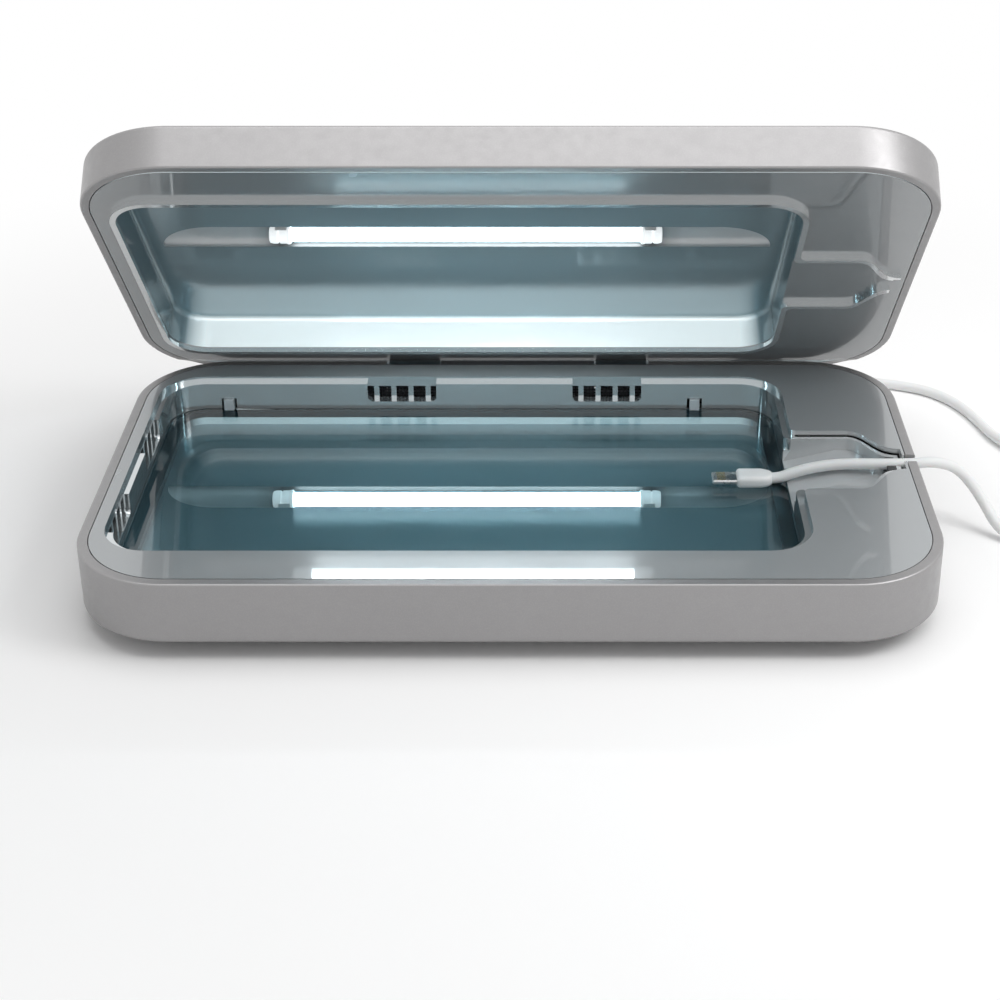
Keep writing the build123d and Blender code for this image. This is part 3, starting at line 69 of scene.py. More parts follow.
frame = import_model()

import json
import math

import bmesh
import bpy
from bpy.props import FloatProperty, FloatVectorProperty, IntProperty, PointerProperty
from mathutils import Matrix, Vector

NODES = frame["nodes"]
HINGE = frame["joints"][0]
MM = 0.001
STILL = Matrix.Identity(4)
# from the closed lid, in which its parts are laid out, to the open lid
LID_OPEN = (
    Matrix.Translation(HINGE["pos_m"])
    @ Matrix.Rotation(-math.radians(HINGE["range_deg"][1]), 4, "X")
    @ Matrix.Translation(-Vector(HINGE["pos_m"]))
)


# ---------------------------------------- meshes
def link(name, mesh, body, finish, *replaced, slot=None):
    """Make a mesh an object that rides on a body and stands for CAD nodes."""
    piece = bpy.data.objects.new(name, mesh)
    bpy.context.scene.collection.objects.link(piece)
    mesh.materials.clear()
    mesh.materials.append(finish)
    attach(piece, body)
    if replaced:
        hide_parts(*replaced)
    return piece


def round_shading(form, angle=28.0):
    """Shade a bmesh smooth, with sharp edges past an angle in degrees."""
    limit = math.radians(angle)
    for edge in form.edges:
        edge.smooth = len(edge.link_faces) == 2 and edge.calc_face_angle(math.pi) < limit
    for face in form.faces:
        face.smooth = True


def mesh_of(name, form, angle=28.0, place=STILL):
    """Close a bmesh into a mesh, with its place in its vertices."""
    bmesh.ops.remove_doubles(form, verts=form.verts, dist=1e-6)
    bmesh.ops.recalc_face_normals(form, faces=form.faces)
    bmesh.ops.transform(form, matrix=place, verts=form.verts)
    round_shading(form, angle)
    mesh = bpy.data.meshes.new(name)
    form.to_mesh(mesh)
    form.free()
    return mesh


def even_normals(piece):
    """Keep large flat faces flat where they run into small rounds."""
    even = piece.modifiers.new("even_normals", "WEIGHTED_NORMAL")
    even.keep_sharp = True
    even.weight = 60


def smooth_copy(node, finish, slot=None, angle=28.0):
    """Copy a CAD node's shape with its loose triangles joined and its curves shaded smooth."""
    form = bmesh.new()
    form.from_mesh(NODES[node].data)
    bmesh.ops.remove_doubles(form, verts=form.verts, dist=2e-6)
    round_shading(form, angle)
    mesh = bpy.data.meshes.new(node)
    form.to_mesh(mesh)
    form.free()
    piece = link(node + "_finished", mesh, body_of_node(node), finish, node, slot=slot)
    even_normals(piece)
    return piece


def finish_nodes(*rows):
    """Finish CAD nodes in their own shape: each row holds a material, a slot and the nodes."""
    for material, slot, *nodes in rows:
        for node in nodes:
            smooth_copy(node, material, slot)


def body_of_node(node):
    """Body that a CAD node rides on."""
    return NODES[node]["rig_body"]


def place_of(node):
    """Placement of the shut layout that a node belongs to."""
    return LID_OPEN if body_of_node(node) == "lid" else STILL


def extent(points):
    """Lowest and highest corner of the box round some points."""
    return tuple(Vector([pick(point[i] for point in points) for i in range(3)]) for pick in (min, max))


def shut_box(node):
    """Lowest and highest corner of a node in the layout of the closed box."""
    back = place_of(node).inverted()
    return extent([back @ vertex.co for vertex in NODES[node].data.vertices])


def island_boxes(node):
    """Boxes of a node's separate solids, left to right."""
    form = bmesh.new()
    form.from_mesh(NODES[node].data)
    bmesh.ops.remove_doubles(form, verts=form.verts, dist=2e-6)
    form.verts.ensure_lookup_table()
    seen, boxes = set(), []
    for vertex in form.verts:
        if vertex in seen:
            continue
        group, rest = [], [vertex]
        seen.add(vertex)
        while rest:
            here = rest.pop()
            group.append(here.co.copy())
            for edge in here.link_edges:
                other = edge.other_vert(here)
                if other not in seen:
                    seen.add(other)
                    rest.append(other)
        boxes.append(extent(group))
    form.free()
    return sorted(boxes, key=lambda pair: tuple(pair[0]))


def turned(profile, origin, axis="X", steps=40):
    """Solid turned round an axis from pairs of place along it and radius, closed at both poles."""
    form = bmesh.new()
    rings = []
    for along, radius in profile:
        if radius < 1e-7:
            rings.append([form.verts.new(_on_axis(along, 0, 0, axis))])
            continue
        ring = []
        for step in range(steps):
            turn = 2 * math.pi * step / steps
            place = _on_axis(along, radius * math.cos(turn), radius * math.sin(turn), axis)
            ring.append(form.verts.new(place))
        rings.append(ring)
    bridge(form, rings)
    bmesh.ops.translate(form, vec=Vector(origin), verts=form.verts)
    return form


def _on_axis(along, across, up, axis):
    return {"X": (along, across, up), "Y": (across, along, up), "Z": (across, up, along)}[axis]


def bridge(form, rings):
    """Join rings of vertices one after the other; a ring of one vertex is a pole."""
    for first, second in zip(rings, rings[1:]):
        count = max(len(first), len(second))
        for i in range(count):
            j = (i + 1) % count
            corners = [ring[k % len(ring)] for ring, k in ((first, i), (first, j), (second, j), (second, i))]
            unique = [corner for k, corner in enumerate(corners) if corner not in corners[:k]]
            if len(unique) > 2:
                form.faces.new(unique)


def rounded_ring(width, height, radius, steps=6):
    """Points round a rectangle with rounded corners, centred on its middle."""
    points = []
    radius = min(radius, width / 2 - 1e-6, height / 2 - 1e-6)
    for quarter in range(4):
        sign_x = 1 if quarter in (0, 3) else -1
        sign_y = 1 if quarter in (0, 1) else -1
        for step in range(steps + 1):
            turn = math.pi / 2 * (quarter + step / steps)
            points.append((
                sign_x * (width / 2 - radius) + radius * math.cos(turn),
                sign_y * (height / 2 - radius) + radius * math.sin(turn),
            ))
    return points


def lofted(sections, axis="Y", steps=6):
    """Closed skin through rounded rectangles, each with its place, width, height and corner radius."""
    form = bmesh.new()
    rings = []
    for along, width, height, radius in sections:
        corners = rounded_ring(width, height, radius, steps)
        rings.append([form.verts.new(_on_axis(along, across, up, axis)) for across, up in corners])
    bridge(form, rings)
    form.faces.new(rings[0])
    form.faces.new(rings[-1])
    return form


def tapered(start, width, height, *rows):
    """Sections of a loft from rows of place after the start, loss of width and height, and radius, in mm."""
    return [
        (start + along * MM, width - narrow * MM, height - flat * MM, radius * MM)
        for along, narrow, flat, radius in rows
    ]


def block(low, high, bevel=0.0):
    """Box between two corners, with its edges rounded."""
    form = bmesh.new()
    bmesh.ops.create_cube(form, size=1.0)
    size = Vector(high) - Vector(low)
    bmesh.ops.scale(form, vec=size, verts=form.verts)
    bmesh.ops.translate(form, vec=(Vector(low) + Vector(high)) / 2, verts=form.verts)
    if bevel:
        bmesh.ops.bevel(form, geom=form.edges[:], offset=bevel, segments=2, profile=0.7, affect="EDGES")
    return form


def joined(forms):
    """One bmesh from several."""
    whole = bmesh.new()
    for form in forms:
        mesh = bpy.data.meshes.new("part")
        form.to_mesh(mesh)
        form.free()
        whole.from_mesh(mesh)
        bpy.data.meshes.remove(mesh)
    return whole


# ---------------------------------------- rows
def math_node(tree, operation, first, second=None):
    """Output of a sum on one or two sockets or numbers."""
    made = tree.nodes.new("ShaderNodeMath")
    made.operation = operation
    for socket, value in zip(made.inputs, (first, second)):
        if isinstance(value, bpy.types.NodeSocket):
            tree.links.new(value, socket)
        elif value is not None:
            socket.default_value = value
    return made.outputs[0]


def row_tree(name, finish):
    """Tree that repeats its seed shape at a pitch along X, centred, in real geometry with its material."""
    tree = bpy.data.node_groups.new(name, "GeometryNodeTree")
    for label, way, kind in (
        ("Geometry", "INPUT", "Geometry"), ("Count", "INPUT", "Int"), ("Pitch", "INPUT", "Float"),
        ("Geometry", "OUTPUT", "Geometry"),
    ):
        tree.interface.new_socket(label, in_out=way, socket_type="NodeSocket" + kind)
    start = tree.nodes.new("NodeGroupInput")
    gaps = math_node(tree, "SUBTRACT", start.outputs["Count"], 1.0)
    span = math_node(tree, "MULTIPLY", gaps, start.outputs["Pitch"])
    first = tree.nodes.new("ShaderNodeCombineXYZ")
    step = tree.nodes.new("ShaderNodeCombineXYZ")
    line = tree.nodes.new("GeometryNodeMeshLine")
    line.mode = "OFFSET"
    spread = tree.nodes.new("GeometryNodeInstanceOnPoints")
    real = tree.nodes.new("GeometryNodeRealizeInstances")
    coat = tree.nodes.new("GeometryNodeSetMaterial")
    coat.inputs["Material"].default_value = finish
    end = tree.nodes.new("NodeGroupOutput")
    for output, socket in (
        (math_node(tree, "MULTIPLY", span, -0.5), first.inputs["X"]),
        (start.outputs["Pitch"], step.inputs["X"]),
        (start.outputs["Count"], line.inputs["Count"]),
        (first.outputs[0], line.inputs["Start Location"]),
        (step.outputs[0], line.inputs["Offset"]),
        (line.outputs["Mesh"], spread.inputs["Points"]),
        (start.outputs["Geometry"], spread.inputs["Instance"]),
        (spread.outputs["Instances"], real.inputs["Geometry"]),
        (real.outputs["Geometry"], coat.inputs["Geometry"]),
        (coat.outputs["Geometry"], end.inputs["Geometry"]),
    ):
        tree.links.new(output, socket)
    return tree


def row_of(tree, seed, count, pitch, place=STILL):
    """Run a row's tree on a seed shape and return what it makes, in its place, as a bmesh."""
    mesh = bpy.data.meshes.new(tree.name)
    seed.to_mesh(mesh)
    seed.free()
    holder = bpy.data.objects.new(tree.name, mesh)
    bpy.context.scene.collection.objects.link(holder)
    growth = holder.modifiers.new("growth", "NODES")
    growth.node_group = tree
    values = {"Count": count, "Pitch": pitch}
    for item in tree.interface.items_tree:
        if item.name in values:
            growth[item.identifier] = values[item.name]
    holder.update_tag()
    bpy.context.view_layer.update()
    made = bpy.data.meshes.new_from_object(holder.evaluated_get(bpy.context.evaluated_depsgraph_get()))
    bpy.data.objects.remove(holder)
    form = bmesh.new()
    form.from_mesh(made)
    bmesh.ops.transform(form, matrix=place, verts=form.verts)
    bpy.data.meshes.remove(made)
    return form


# ---------------------------------------- finishes
class Finish:
    """Material under construction: one principled shader fed from object coordinates."""

    def __init__(self, name, colour, rough=0.5, metal=0.0):
        self.material = bpy.data.materials.new(name)
        self.material.use_nodes = True
        self.tree = self.material.node_tree
        self.shader = self.tree.nodes["Principled BSDF"]
        self.shader.inputs["Base Color"].default_value = (*colour, 1.0)
        self.shader.inputs["Roughness"].default_value = rough
        self.shader.inputs["Metallic"].default_value = metal
        self.where = self.tree.nodes.new("ShaderNodeTexCoord").outputs["Object"]

    def set(self, **values):
        for name, value in values.items():
            self.shader.inputs[name.replace("_", " ")].default_value = value

    def node(self, kind, **inputs):
        made = self.tree.nodes.new("ShaderNode" + kind)
        for name, value in inputs.items():
            made.inputs[name.replace("_", " ")].default_value = value
        return made

    def noise(self, scale, detail=3.0, stretch=None):
        made = self.node("TexNoise", Scale=scale, Detail=detail)
        where = self.where
        if stretch:
            turn = self.node("Mapping", Scale=stretch)
            self.tree.links.new(where, turn.inputs["Vector"])
            where = turn.outputs["Vector"]
        self.tree.links.new(where, made.inputs["Vector"])
        return made.outputs["Fac"]

    def cells(self, scale):
        made = self.node("TexVoronoi", Scale=scale)
        self.tree.links.new(self.where, made.inputs["Vector"])
        return made.outputs["Distance"]

    def ramp(self, factor, *stops):
        made = self.tree.nodes.new("ShaderNodeValToRGB")
        band = made.color_ramp
        while len(band.elements) < len(stops):
            band.elements.new(0.5)
        for element, (place, colour) in zip(band.elements, stops):
            element.position = place
            if isinstance(colour, (int, float)):
                colour = (colour, colour, colour)
            element.color = (*colour, 1.0)
        self.tree.links.new(factor, made.inputs["Fac"])
        return made.outputs["Color"]

    def to(self, output, name):
        self.tree.links.new(output, self.shader.inputs[name])

    def mottle(self, name, scale, low, high, top=0.7):
        """Vary a socket between two values or colours with noise."""
        self.to(self.ramp(self.noise(scale), (0.3, low), (top, high)), name)

    def bump(self, height, distance, strength=1.0):
        made = self.node("Bump", Strength=strength, Distance=distance)
        self.tree.links.new(height, made.inputs["Height"])
        self.tree.links.new(made.outputs["Normal"], self.shader.inputs["Normal"])


def shade(colour, factor):
    """A colour made lighter or darker."""
    return tuple(min(1.0, part * factor) for part in colour)


def mix_shaders(tree, factor, first, second, end):
    """Show the first shader where the factor is 0 and the second where it is 1."""
    mix = tree.nodes.new("ShaderNodeMixShader")
    for output, socket in zip((factor, first.outputs[0], second.outputs[0]), mix.inputs):
        tree.links.new(output, socket)
    tree.links.new(mix.outputs[0], tree.nodes[end].inputs["Surface"])


def moulded(name, colour, rough=0.45, grain=1800.0, depth=0.00003):
    """Moulded plastic: faint mottling, fine grain and uneven gloss."""
    coat = Finish(name, colour, rough)
    coat.mottle("Base Color", 60.0, shade(colour, 0.96), shade(colour, 1.04))
    coat.mottle("Roughness", 300.0, rough - 0.05, rough + 0.05)
    coat.bump(coat.noise(grain, 2.0), depth, 0.5)
    return coat.material


def silver_paint(colour):
    """Satin silver paint on plastic: fine metal flakes under a thin clear coat."""
    coat = Finish("silver_paint", colour, 0.42)
    flakes = coat.ramp(coat.cells(2600.0), (0.0, shade(colour, 1.03)), (0.55, shade(colour, 0.96)))
    cloud = coat.ramp(coat.noise(24.0), (0.25, 0.965), (0.75, 1.0))
    tone = coat.node("Mix")
    tone.data_type = "RGBA"
    tone.blend_type = "MULTIPLY"
    tone.inputs["Factor"].default_value = 1.0
    coat.tree.links.new(flakes, tone.inputs["A"])
    coat.tree.links.new(cloud, tone.inputs["B"])
    coat.to(tone.outputs["Result"], "Base Color")
    coat.mottle("Roughness", 420.0, 0.36, 0.46)
    coat.set(Metallic=0.75, Coat_Weight=0.12, Coat_Roughness=0.25)
    coat.bump(coat.noise(2200.0, 2.0), 0.000012, 0.35)
    return coat.material


def mirror_plate(name, colour):
    """Vacuum-metallised plastic: a mirror with faint waves and a slight haze."""
    coat = Finish(name, colour, 0.09, 0.88)
    coat.mottle("Roughness", 45.0, 0.06, 0.13, 0.75)
    coat.mottle("Base Color", 9.0, shade(colour, 0.96), colour)
    coat.bump(coat.noise(38.0, 1.0), 0.00012, 0.25)
    return coat.material


def grey_gloss(name, colour):
    """Grey gloss round the mirrors: part paint, part metal, with a hard clear surface."""
    coat = Finish(name, colour, 0.07, 0.25)
    coat.mottle("Base Color", 14.0, shade(colour, 0.95), colour)
    coat.mottle("Roughness", 50.0, 0.22, 0.28, 0.75)
    coat.set(Coat_Weight=0.9, Coat_IOR=1.8, Coat_Roughness=0.03)
    coat.bump(coat.noise(38.0, 1.0), 0.00008, 0.2)
    return coat.material


def lid_lining(colour, bright):
    """Grey gloss with painted shade that darkens the side walls, and painted light where it faces forwards: a
    near-white metal with a faint painted glow, though it is no lamp.
    """
    coat = Finish("lid_lining", colour, 0.14, 0.5)
    facing = coat.node("Attribute")
    facing.attribute_name = "facing"
    factor = facing.outputs["Fac"]
    # painted shade on the walls that face sideways, painted light on the walls that face forwards
    coat.to(coat.ramp(factor, (0.0, shade(colour, 0.45)), (0.5, colour), (1.0, bright)), "Base Color")
    coat.to(coat.ramp(factor, (0.5, 0.45), (1.0, 0.35)), "Metallic")
    # painted glow on the walls that face forwards
    coat.to(coat.ramp(factor, (0.5, (0.0, 0.0, 0.0)), (1.0, (0.85, 0.98, 1.0))), "Emission Color")
    coat.set(Emission_Strength=0.42)
    coat.mottle("Roughness", 50.0, 0.10, 0.18, 0.75)
    coat.bump(coat.noise(38.0, 1.0), 0.00008, 0.2)
    return coat.material


def mark_painted_light_mask(piece, node):
    """Store how each corner faces in the shut box, as the mask of the lining's painted shade and painted
    light: 0 to a side, 1 to the front, 0.5 any other way.
    """
    back = place_of(node).inverted().to_3x3()
    marks = piece.data.attributes.new("facing", "FLOAT", "CORNER")
    for mark, normal in zip(marks.data, piece.data.corner_normals):
        way = back @ normal.vector
        front, side = (max(0.0, min(1.0, (part - 0.2) / 0.6)) for part in (-way.y, abs(way.x)))
        mark.value = 0.5 + 0.5 * (front - side)


def satin_trough(colour, middle, half):
    """Satin lining of the troughs that the lamps lie in, darker along the lamp than at the trough's ends."""
    coat = Finish("satin_trough", colour, 0.34, 0.35)
    split = coat.node("SeparateXYZ")
    coat.tree.links.new(coat.where, split.inputs[0])
    along = math_node(coat.tree, "SUBTRACT", split.outputs["X"], middle)
    away = math_node(coat.tree, "ABSOLUTE", along)
    coat.to(coat.ramp(away, (half, shade(colour, 0.16)), (half + 0.003, colour)), "Base Color")
    coat.mottle("Roughness", 90.0, 0.28, 0.40, 0.75)
    coat.bump(coat.noise(1500.0, 2.0), 0.00001, 0.3)
    return coat.material


def lamp_glow(colour, strength):
    """Lit lamp glass: whiter through its middle, tinted towards its ends."""
    coat = Finish("lamp_glow", (0.85, 0.9, 0.92), 0.12)
    edge = coat.node("LayerWeight", Blend=0.35)
    coat.to(coat.ramp(edge.outputs["Facing"], (0.0, (1.0, 1.0, 1.0)), (0.8, colour)), "Emission Color")
    coat.set(Emission_Strength=strength, Coat_Weight=0.5)
    return coat.material


def cap_painted_glow(colour, strength):
    """Milky end cap with a painted glow: an emission that stands in for the lamp's light shining through it,
    though the cap is no lamp.
    """
    coat = Finish("milky_cap", colour, 0.35)
    coat.mottle("Base Color", 500.0, shade(colour, 0.93), colour)
    # painted glow
    coat.set(Emission_Color=(0.93, 0.98, 1.0, 1.0), Emission_Strength=strength)
    coat.bump(coat.noise(900.0), 0.00002, 0.4)
    return coat.material


def clear_plastic(colour):
    """Clear plate with a slight tint and faint scuffs, which lets light through to what lies under it."""
    coat = Finish("clear_plate", colour, 0.03)
    coat.set(Transmission_Weight=1.0, IOR=1.47)
    coat.to(coat.ramp(coat.noise(70.0, 4.0), (0.4, 0.015), (0.8, 0.07)), "Roughness")
    path = coat.node("LightPath")
    open_way = coat.node("BsdfTransparent", Color=(*shade(colour, 1.3), 1.0))
    mix_shaders(coat.tree, path.outputs["Is Shadow Ray"], coat.shader, open_way, "Material Output")
    return coat.material


def worked_metal(name, colour, rough=0.28, stretch=(1.0, 1.0, 1.0)):
    """Plated or brushed metal, with a stretched grain."""
    coat = Finish(name, colour, rough, 1.0)
    coat.to(coat.ramp(coat.noise(500.0, 4.0, stretch), (0.3, rough - 0.08), (0.7, rough + 0.1)), "Roughness")
    coat.mottle("Base Color", 60.0, shade(colour, 0.9), colour)
    coat.bump(coat.noise(900.0, 2.0, stretch), 0.00001, 0.3)
    return coat.material


def rubber(name, colour):
    """Matt rubber with a fine leathery grain."""
    coat = Finish(name, colour, 0.8)
    coat.mottle("Base Color", 220.0, shade(colour, 0.8), shade(colour, 1.25))
    coat.bump(coat.cells(1200.0), 0.00005, 0.6)
    return coat.material


def lead_sleeve(colour):
    """Soft sleeve of the lead, which lets a little light into itself."""
    coat = Finish("lead_sleeve", colour, 0.5)
    coat.mottle("Base Color", 40.0, shade(colour, 0.94), colour)
    coat.mottle("Roughness", 260.0, 0.42, 0.56)
    coat.bump(coat.noise(900.0), 0.00002, 0.5)
    coat.set(Subsurface_Weight=0.08, Subsurface_Scale=0.001)
    return coat.material


def smoked_window(colour):
    """Smoked window with a hard clear surface."""
    coat = Finish("smoked_window", colour, 0.12)
    coat.mottle("Roughness", 80.0, 0.08, 0.16)
    coat.set(Coat_Weight=0.6, Coat_Roughness=0.05)
    return coat.material


def circuit_board(colour):
    """Lacquered board: darker tracks, a fine weave under the lacquer."""
    coat = Finish("circuit_board", colour, 0.35)
    tracks = coat.node("TexBrick", Scale=260.0)
    coat.tree.links.new(coat.where, tracks.inputs["Vector"])
    tracks.inputs["Color1"].default_value = (*shade(colour, 1.3), 1.0)
    tracks.inputs["Color2"].default_value = (*colour, 1.0)
    tracks.inputs["Mortar"].default_value = (*shade(colour, 0.6), 1.0)
    coat.to(tracks.outputs["Color"], "Base Color")
    coat.bump(tracks.outputs["Fac"], 0.00003, 0.3)
    coat.set(Coat_Weight=0.4)
    return coat.material


# ---------------------------------------- settings
def length_property(name, description, default):
    return FloatProperty(name=name, description=description, default=default, unit="LENGTH")


def power_property(name, description, default):
    return FloatProperty(name=name, description=description, default=default, min=0.0)


def colour_property(name, description, default):
    return FloatVectorProperty(
        name=name, description=description, default=default, subtype="COLOR", min=0, max=1,
    )


class BoxSizes(bpy.types.PropertyGroup):
    """Sizes of the parts that are finished here, and strengths of the lights."""

    lead_d: length_property("Lead diameter", "Charging lead across", 0.003)
    lead_length: length_property("Lead length", "Charging lead end to end", 0.95)
    coil_r: length_property("Coil radius", "Outer turn of the coil", 0.020)
    coil_steps: IntProperty(name="Coil steps", description="Points in each turn", default=20, min=12)
    lamp_d: length_property("Lamp diameter", "Lamp glass across", 0.0038)
    # strength of the end caps' painted glow
    cap_painted_glow_power: power_property("Cap glow", "Strength of the end caps' light", 0.6)
    lamp_power: power_property("Lamp glow", "Strength of the lamps' light", 16.0)
    channel_x: length_property("Channel start", "Where the lead's channel begins", 0.0765)
    plate_depth: length_property("Plate depth", "Rim to the clear plate's underside", 0.0105)
    flange_depth: length_property("Flange depth", "Depth of the grey flange's faces", 0.0006)
    chamber_depth: length_property("Chamber depth", "Rim to the chamber's floor", 0.0137)
    recess_depth: length_property("Recess depth", "Rim to the lid's ceiling", 0.0093)
    wire_d: length_property("Screen wire", "Wire of the vent screens", 0.0003)
    wire_pitch: length_property("Screen pitch", "Wire to wire", 0.0010)
    rib_pitch: length_property("Rib pitch", "Rib to rib on the pad", 0.004)
    key_power: power_property("Key light", "Power of the main light", 3.0)
    side_power: power_property("Side light", "Power of the light from the right", 0.72)
    world_light: power_property("Room light", "Strength of the room's light", 0.5)


class BoxColours(bpy.types.PropertyGroup):
    """Colours of the finishes."""

    silver: colour_property("Silver", "Casing paint", (0.355, 0.348, 0.351))
    mirror: colour_property("Mirror", "Liners", (0.80, 0.82, 0.825))
    # grey, with a bluish tint that is painted reflection of the lid's cyan-lit lining
    flange: colour_property("Flange", "Grey flange round the mirrors", (0.325, 0.345, 0.355))
    # painted shade: the flange colour darkened to 0.72 for the lid's flange, which faces downwards
    lid_flange: colour_property("Lid flange", "Grey flange of the lid", (0.234, 0.2484, 0.2556))
    # painted shade: a darker copy of the mirror for the base's chamber walls
    base_mirror: colour_property("Base mirror", "Chamber walls of the base", (0.68, 0.71, 0.72))
    # grey gloss whose teal tint is painted light: it stands in for the lamps' cyan light on the lid's ceiling
    # and side walls
    lining: colour_property("Lining", "Lid's ceiling and side walls", (0.31, 0.39, 0.42))
    # painted light: this near-white colour of the lid's wall beside the hinge stands in for the lamp's light
    # on it
    bright: colour_property("Bright lining", "Lid's wall beside the hinge", (0.97, 0.98, 0.98))
    trough: colour_property("Trough", "Troughs of the lamps and the lead's channel", (0.50, 0.52, 0.53))
    glow: colour_property("Lamp tint", "Edge of the lamps' glow", (0.45, 0.85, 1.0))
    white: colour_property("White", "Lead, plugs and lamp caps", (0.83, 0.84, 0.84))
    hinge: colour_property("Hinge grey", "Hinge block", (0.10, 0.105, 0.11))
    arm: colour_property("Arm grey", "Hinge arms", (0.075, 0.077, 0.08))
    dark: colour_property("Dark", "Screens, pad and sockets", (0.03, 0.03, 0.032))
    cover: colour_property("Cover", "Underside cover", (0.11, 0.11, 0.115))
    board: colour_property("Board green", "Circuit boards", (0.02, 0.12, 0.05))
    steel: colour_property("Steel", "Screws, pin and socket shells", (0.58, 0.58, 0.58))
    gold: colour_property("Gold", "Contacts", (0.85, 0.62, 0.25))
    bronze: colour_property("Bronze", "Friction sleeve", (0.5, 0.38, 0.24))
    copper: colour_property("Copper", "Transformer's winding", (0.45, 0.2, 0.09))
    magnet: colour_property("Magnet", "Plating of the magnet", (0.5, 0.5, 0.5))
    resin: colour_property("Resin", "Chips", (0.02, 0.02, 0.021))
    clip: colour_property("Clip", "Clips of the clear plate", (0.55, 0.58, 0.6))
    gasket: colour_property("Gasket", "Seal where the lead leaves", (0.05, 0.05, 0.052))
    window: colour_property("Window", "Smoked light window", (0.05, 0.055, 0.06))
    plate: colour_property("Plate tint", "Clear plate over the lower lamp", (0.50, 0.61, 0.64))
    floor: colour_property("Floor", "Floor under the box", (0.95, 0.95, 0.95))


def sizes():
    return bpy.context.scene.box_sizes


def tint(name):
    """A colour as a plain tuple."""
    return tuple(getattr(bpy.context.scene.box_colours, name))


_finishes = {}


def finish(name, make, *values):
    """Look up a finish by name, making it the first time."""
    if name not in _finishes:
        _finishes[name] = make(*values)
    return _finishes[name]


def steel():
    return finish("steel", worked_metal, "plated_steel", tint("steel"))


def gold():
    return finish("gold", worked_metal, "gold_contact", tint("gold"), 0.22)


def white_plastic():
    return finish("white", moulded, "white_plastic", tint("white"), 0.35)


def dark_plastic():
    return finish("dark", moulded, "dark_plastic", tint("dark"), 0.5)


def lacquered_board():
    return finish("board", circuit_board, tint("board"))


# ---------------------------------------- stage
def seen_ray(tree):
    """Output that is 1 for what is seen directly, in metal or through glass."""
    path = tree.nodes.new("ShaderNodeLightPath").outputs
    either = math_node(tree, "MAXIMUM", path["Is Camera Ray"], path["Is Glossy Ray"])
    return math_node(tree, "MAXIMUM", either, path["Is Transmission Ray"])


def whiten(paper):
    """Fade the floor to plain white away from the box, for the rays that see it."""
    away = paper.node("VectorMath")
    away.operation = "LENGTH"
    paper.tree.links.new(paper.where, away.inputs[0])
    fade = paper.node("MapRange", From_Min=0.12, From_Max=0.33)
    fade.interpolation_type = "SMOOTHSTEP"
    paper.tree.links.new(away.outputs["Value"], fade.inputs["Value"])
    factor = math_node(paper.tree, "MULTIPLY", fade.outputs["Result"], seen_ray(paper.tree))
    white = paper.node("Emission", Color=(1, 1, 1, 1), Strength=1.0)
    mix_shaders(paper.tree, factor, paper.shader, white, "Material Output")


class BOX_OT_stage(bpy.types.Operator):
    """Set up the floor, the lights and the camera"""

    bl_idname = "box.stage"
    bl_label = "Stage"

    def execute(self, context):
        scene = context.scene
        view = bpy.data.cameras.new("view")
        view.sensor_width = 36.0
        view.lens = 70.24
        view.shift_x = -0.055
        view.shift_y = -0.09
        view.clip_start = 0.01
        camera = bpy.data.objects.new("view", view)
        camera.location = (0.0111, -0.4606, 0.2673)
        camera.rotation_euler = (math.radians(63.4), 0.0, 0.0)
        scene.collection.objects.link(camera)
        scene.camera = camera

        floor_mesh = bpy.data.meshes.new("floor")
        floor_mesh.from_pydata([(-3, -3, 0), (3, -3, 0), (3, 3, 0), (-3, 3, 0)], [], [(0, 1, 2, 3)])
        floor = bpy.data.objects.new("floor", floor_mesh)
        scene.collection.objects.link(floor)
        paper = Finish("pale_floor", tint("floor"), 0.9)
        paper.mottle("Base Color", 3.0, shade(tint("floor"), 0.995), tint("floor"))
        paper.set(Specular_IOR_Level=0.0)
        whiten(paper)
        floor_mesh.materials.append(paper.material)

        world = bpy.data.worlds.new("room")
        scene.world = world
        world.use_nodes = True
        tree = world.node_tree
        sky = tree.nodes["Background"]
        bright = tree.nodes.new("ShaderNodeBackground")
        for light, strength in ((sky, sizes().world_light), (bright, 1.0)):
            light.inputs["Color"].default_value = (1, 1, 1, 1)
            light.inputs["Strength"].default_value = strength
        mix_shaders(tree, seen_ray(tree), sky, bright, "World Output")

        for name, place, aim, size, power in (
            ("key", (0.06, 0.06, 0.80), (0.0, 0.0, 0.0), 0.8, sizes().key_power),
            ("right", (0.34, -0.12, 0.36), (0.06, -0.02, 0.08), 0.2, sizes().side_power),
        ):
            lamp = bpy.data.lights.new(name, "AREA")
            lamp.size = size
            lamp.energy = power
            light = bpy.data.objects.new(name, lamp)
            light.location = place
            light.rotation_euler = (Vector(aim) - Vector(place)).to_track_quat("-Z", "Y").to_euler()
            scene.collection.objects.link(light)
        scene.view_settings.view_transform = "Standard"
        return {"FINISHED"}


# ---------------------------------------- charging lead
# turns of the coil after which its top layer is full, its bottom layer starts and the coil ends
TOP_FULL, BOTTOM_START, COIL_END = 3.0, 3.5, 6.5
# part of a turn in which the lead crosses to the next row
CROSSING = 0.2


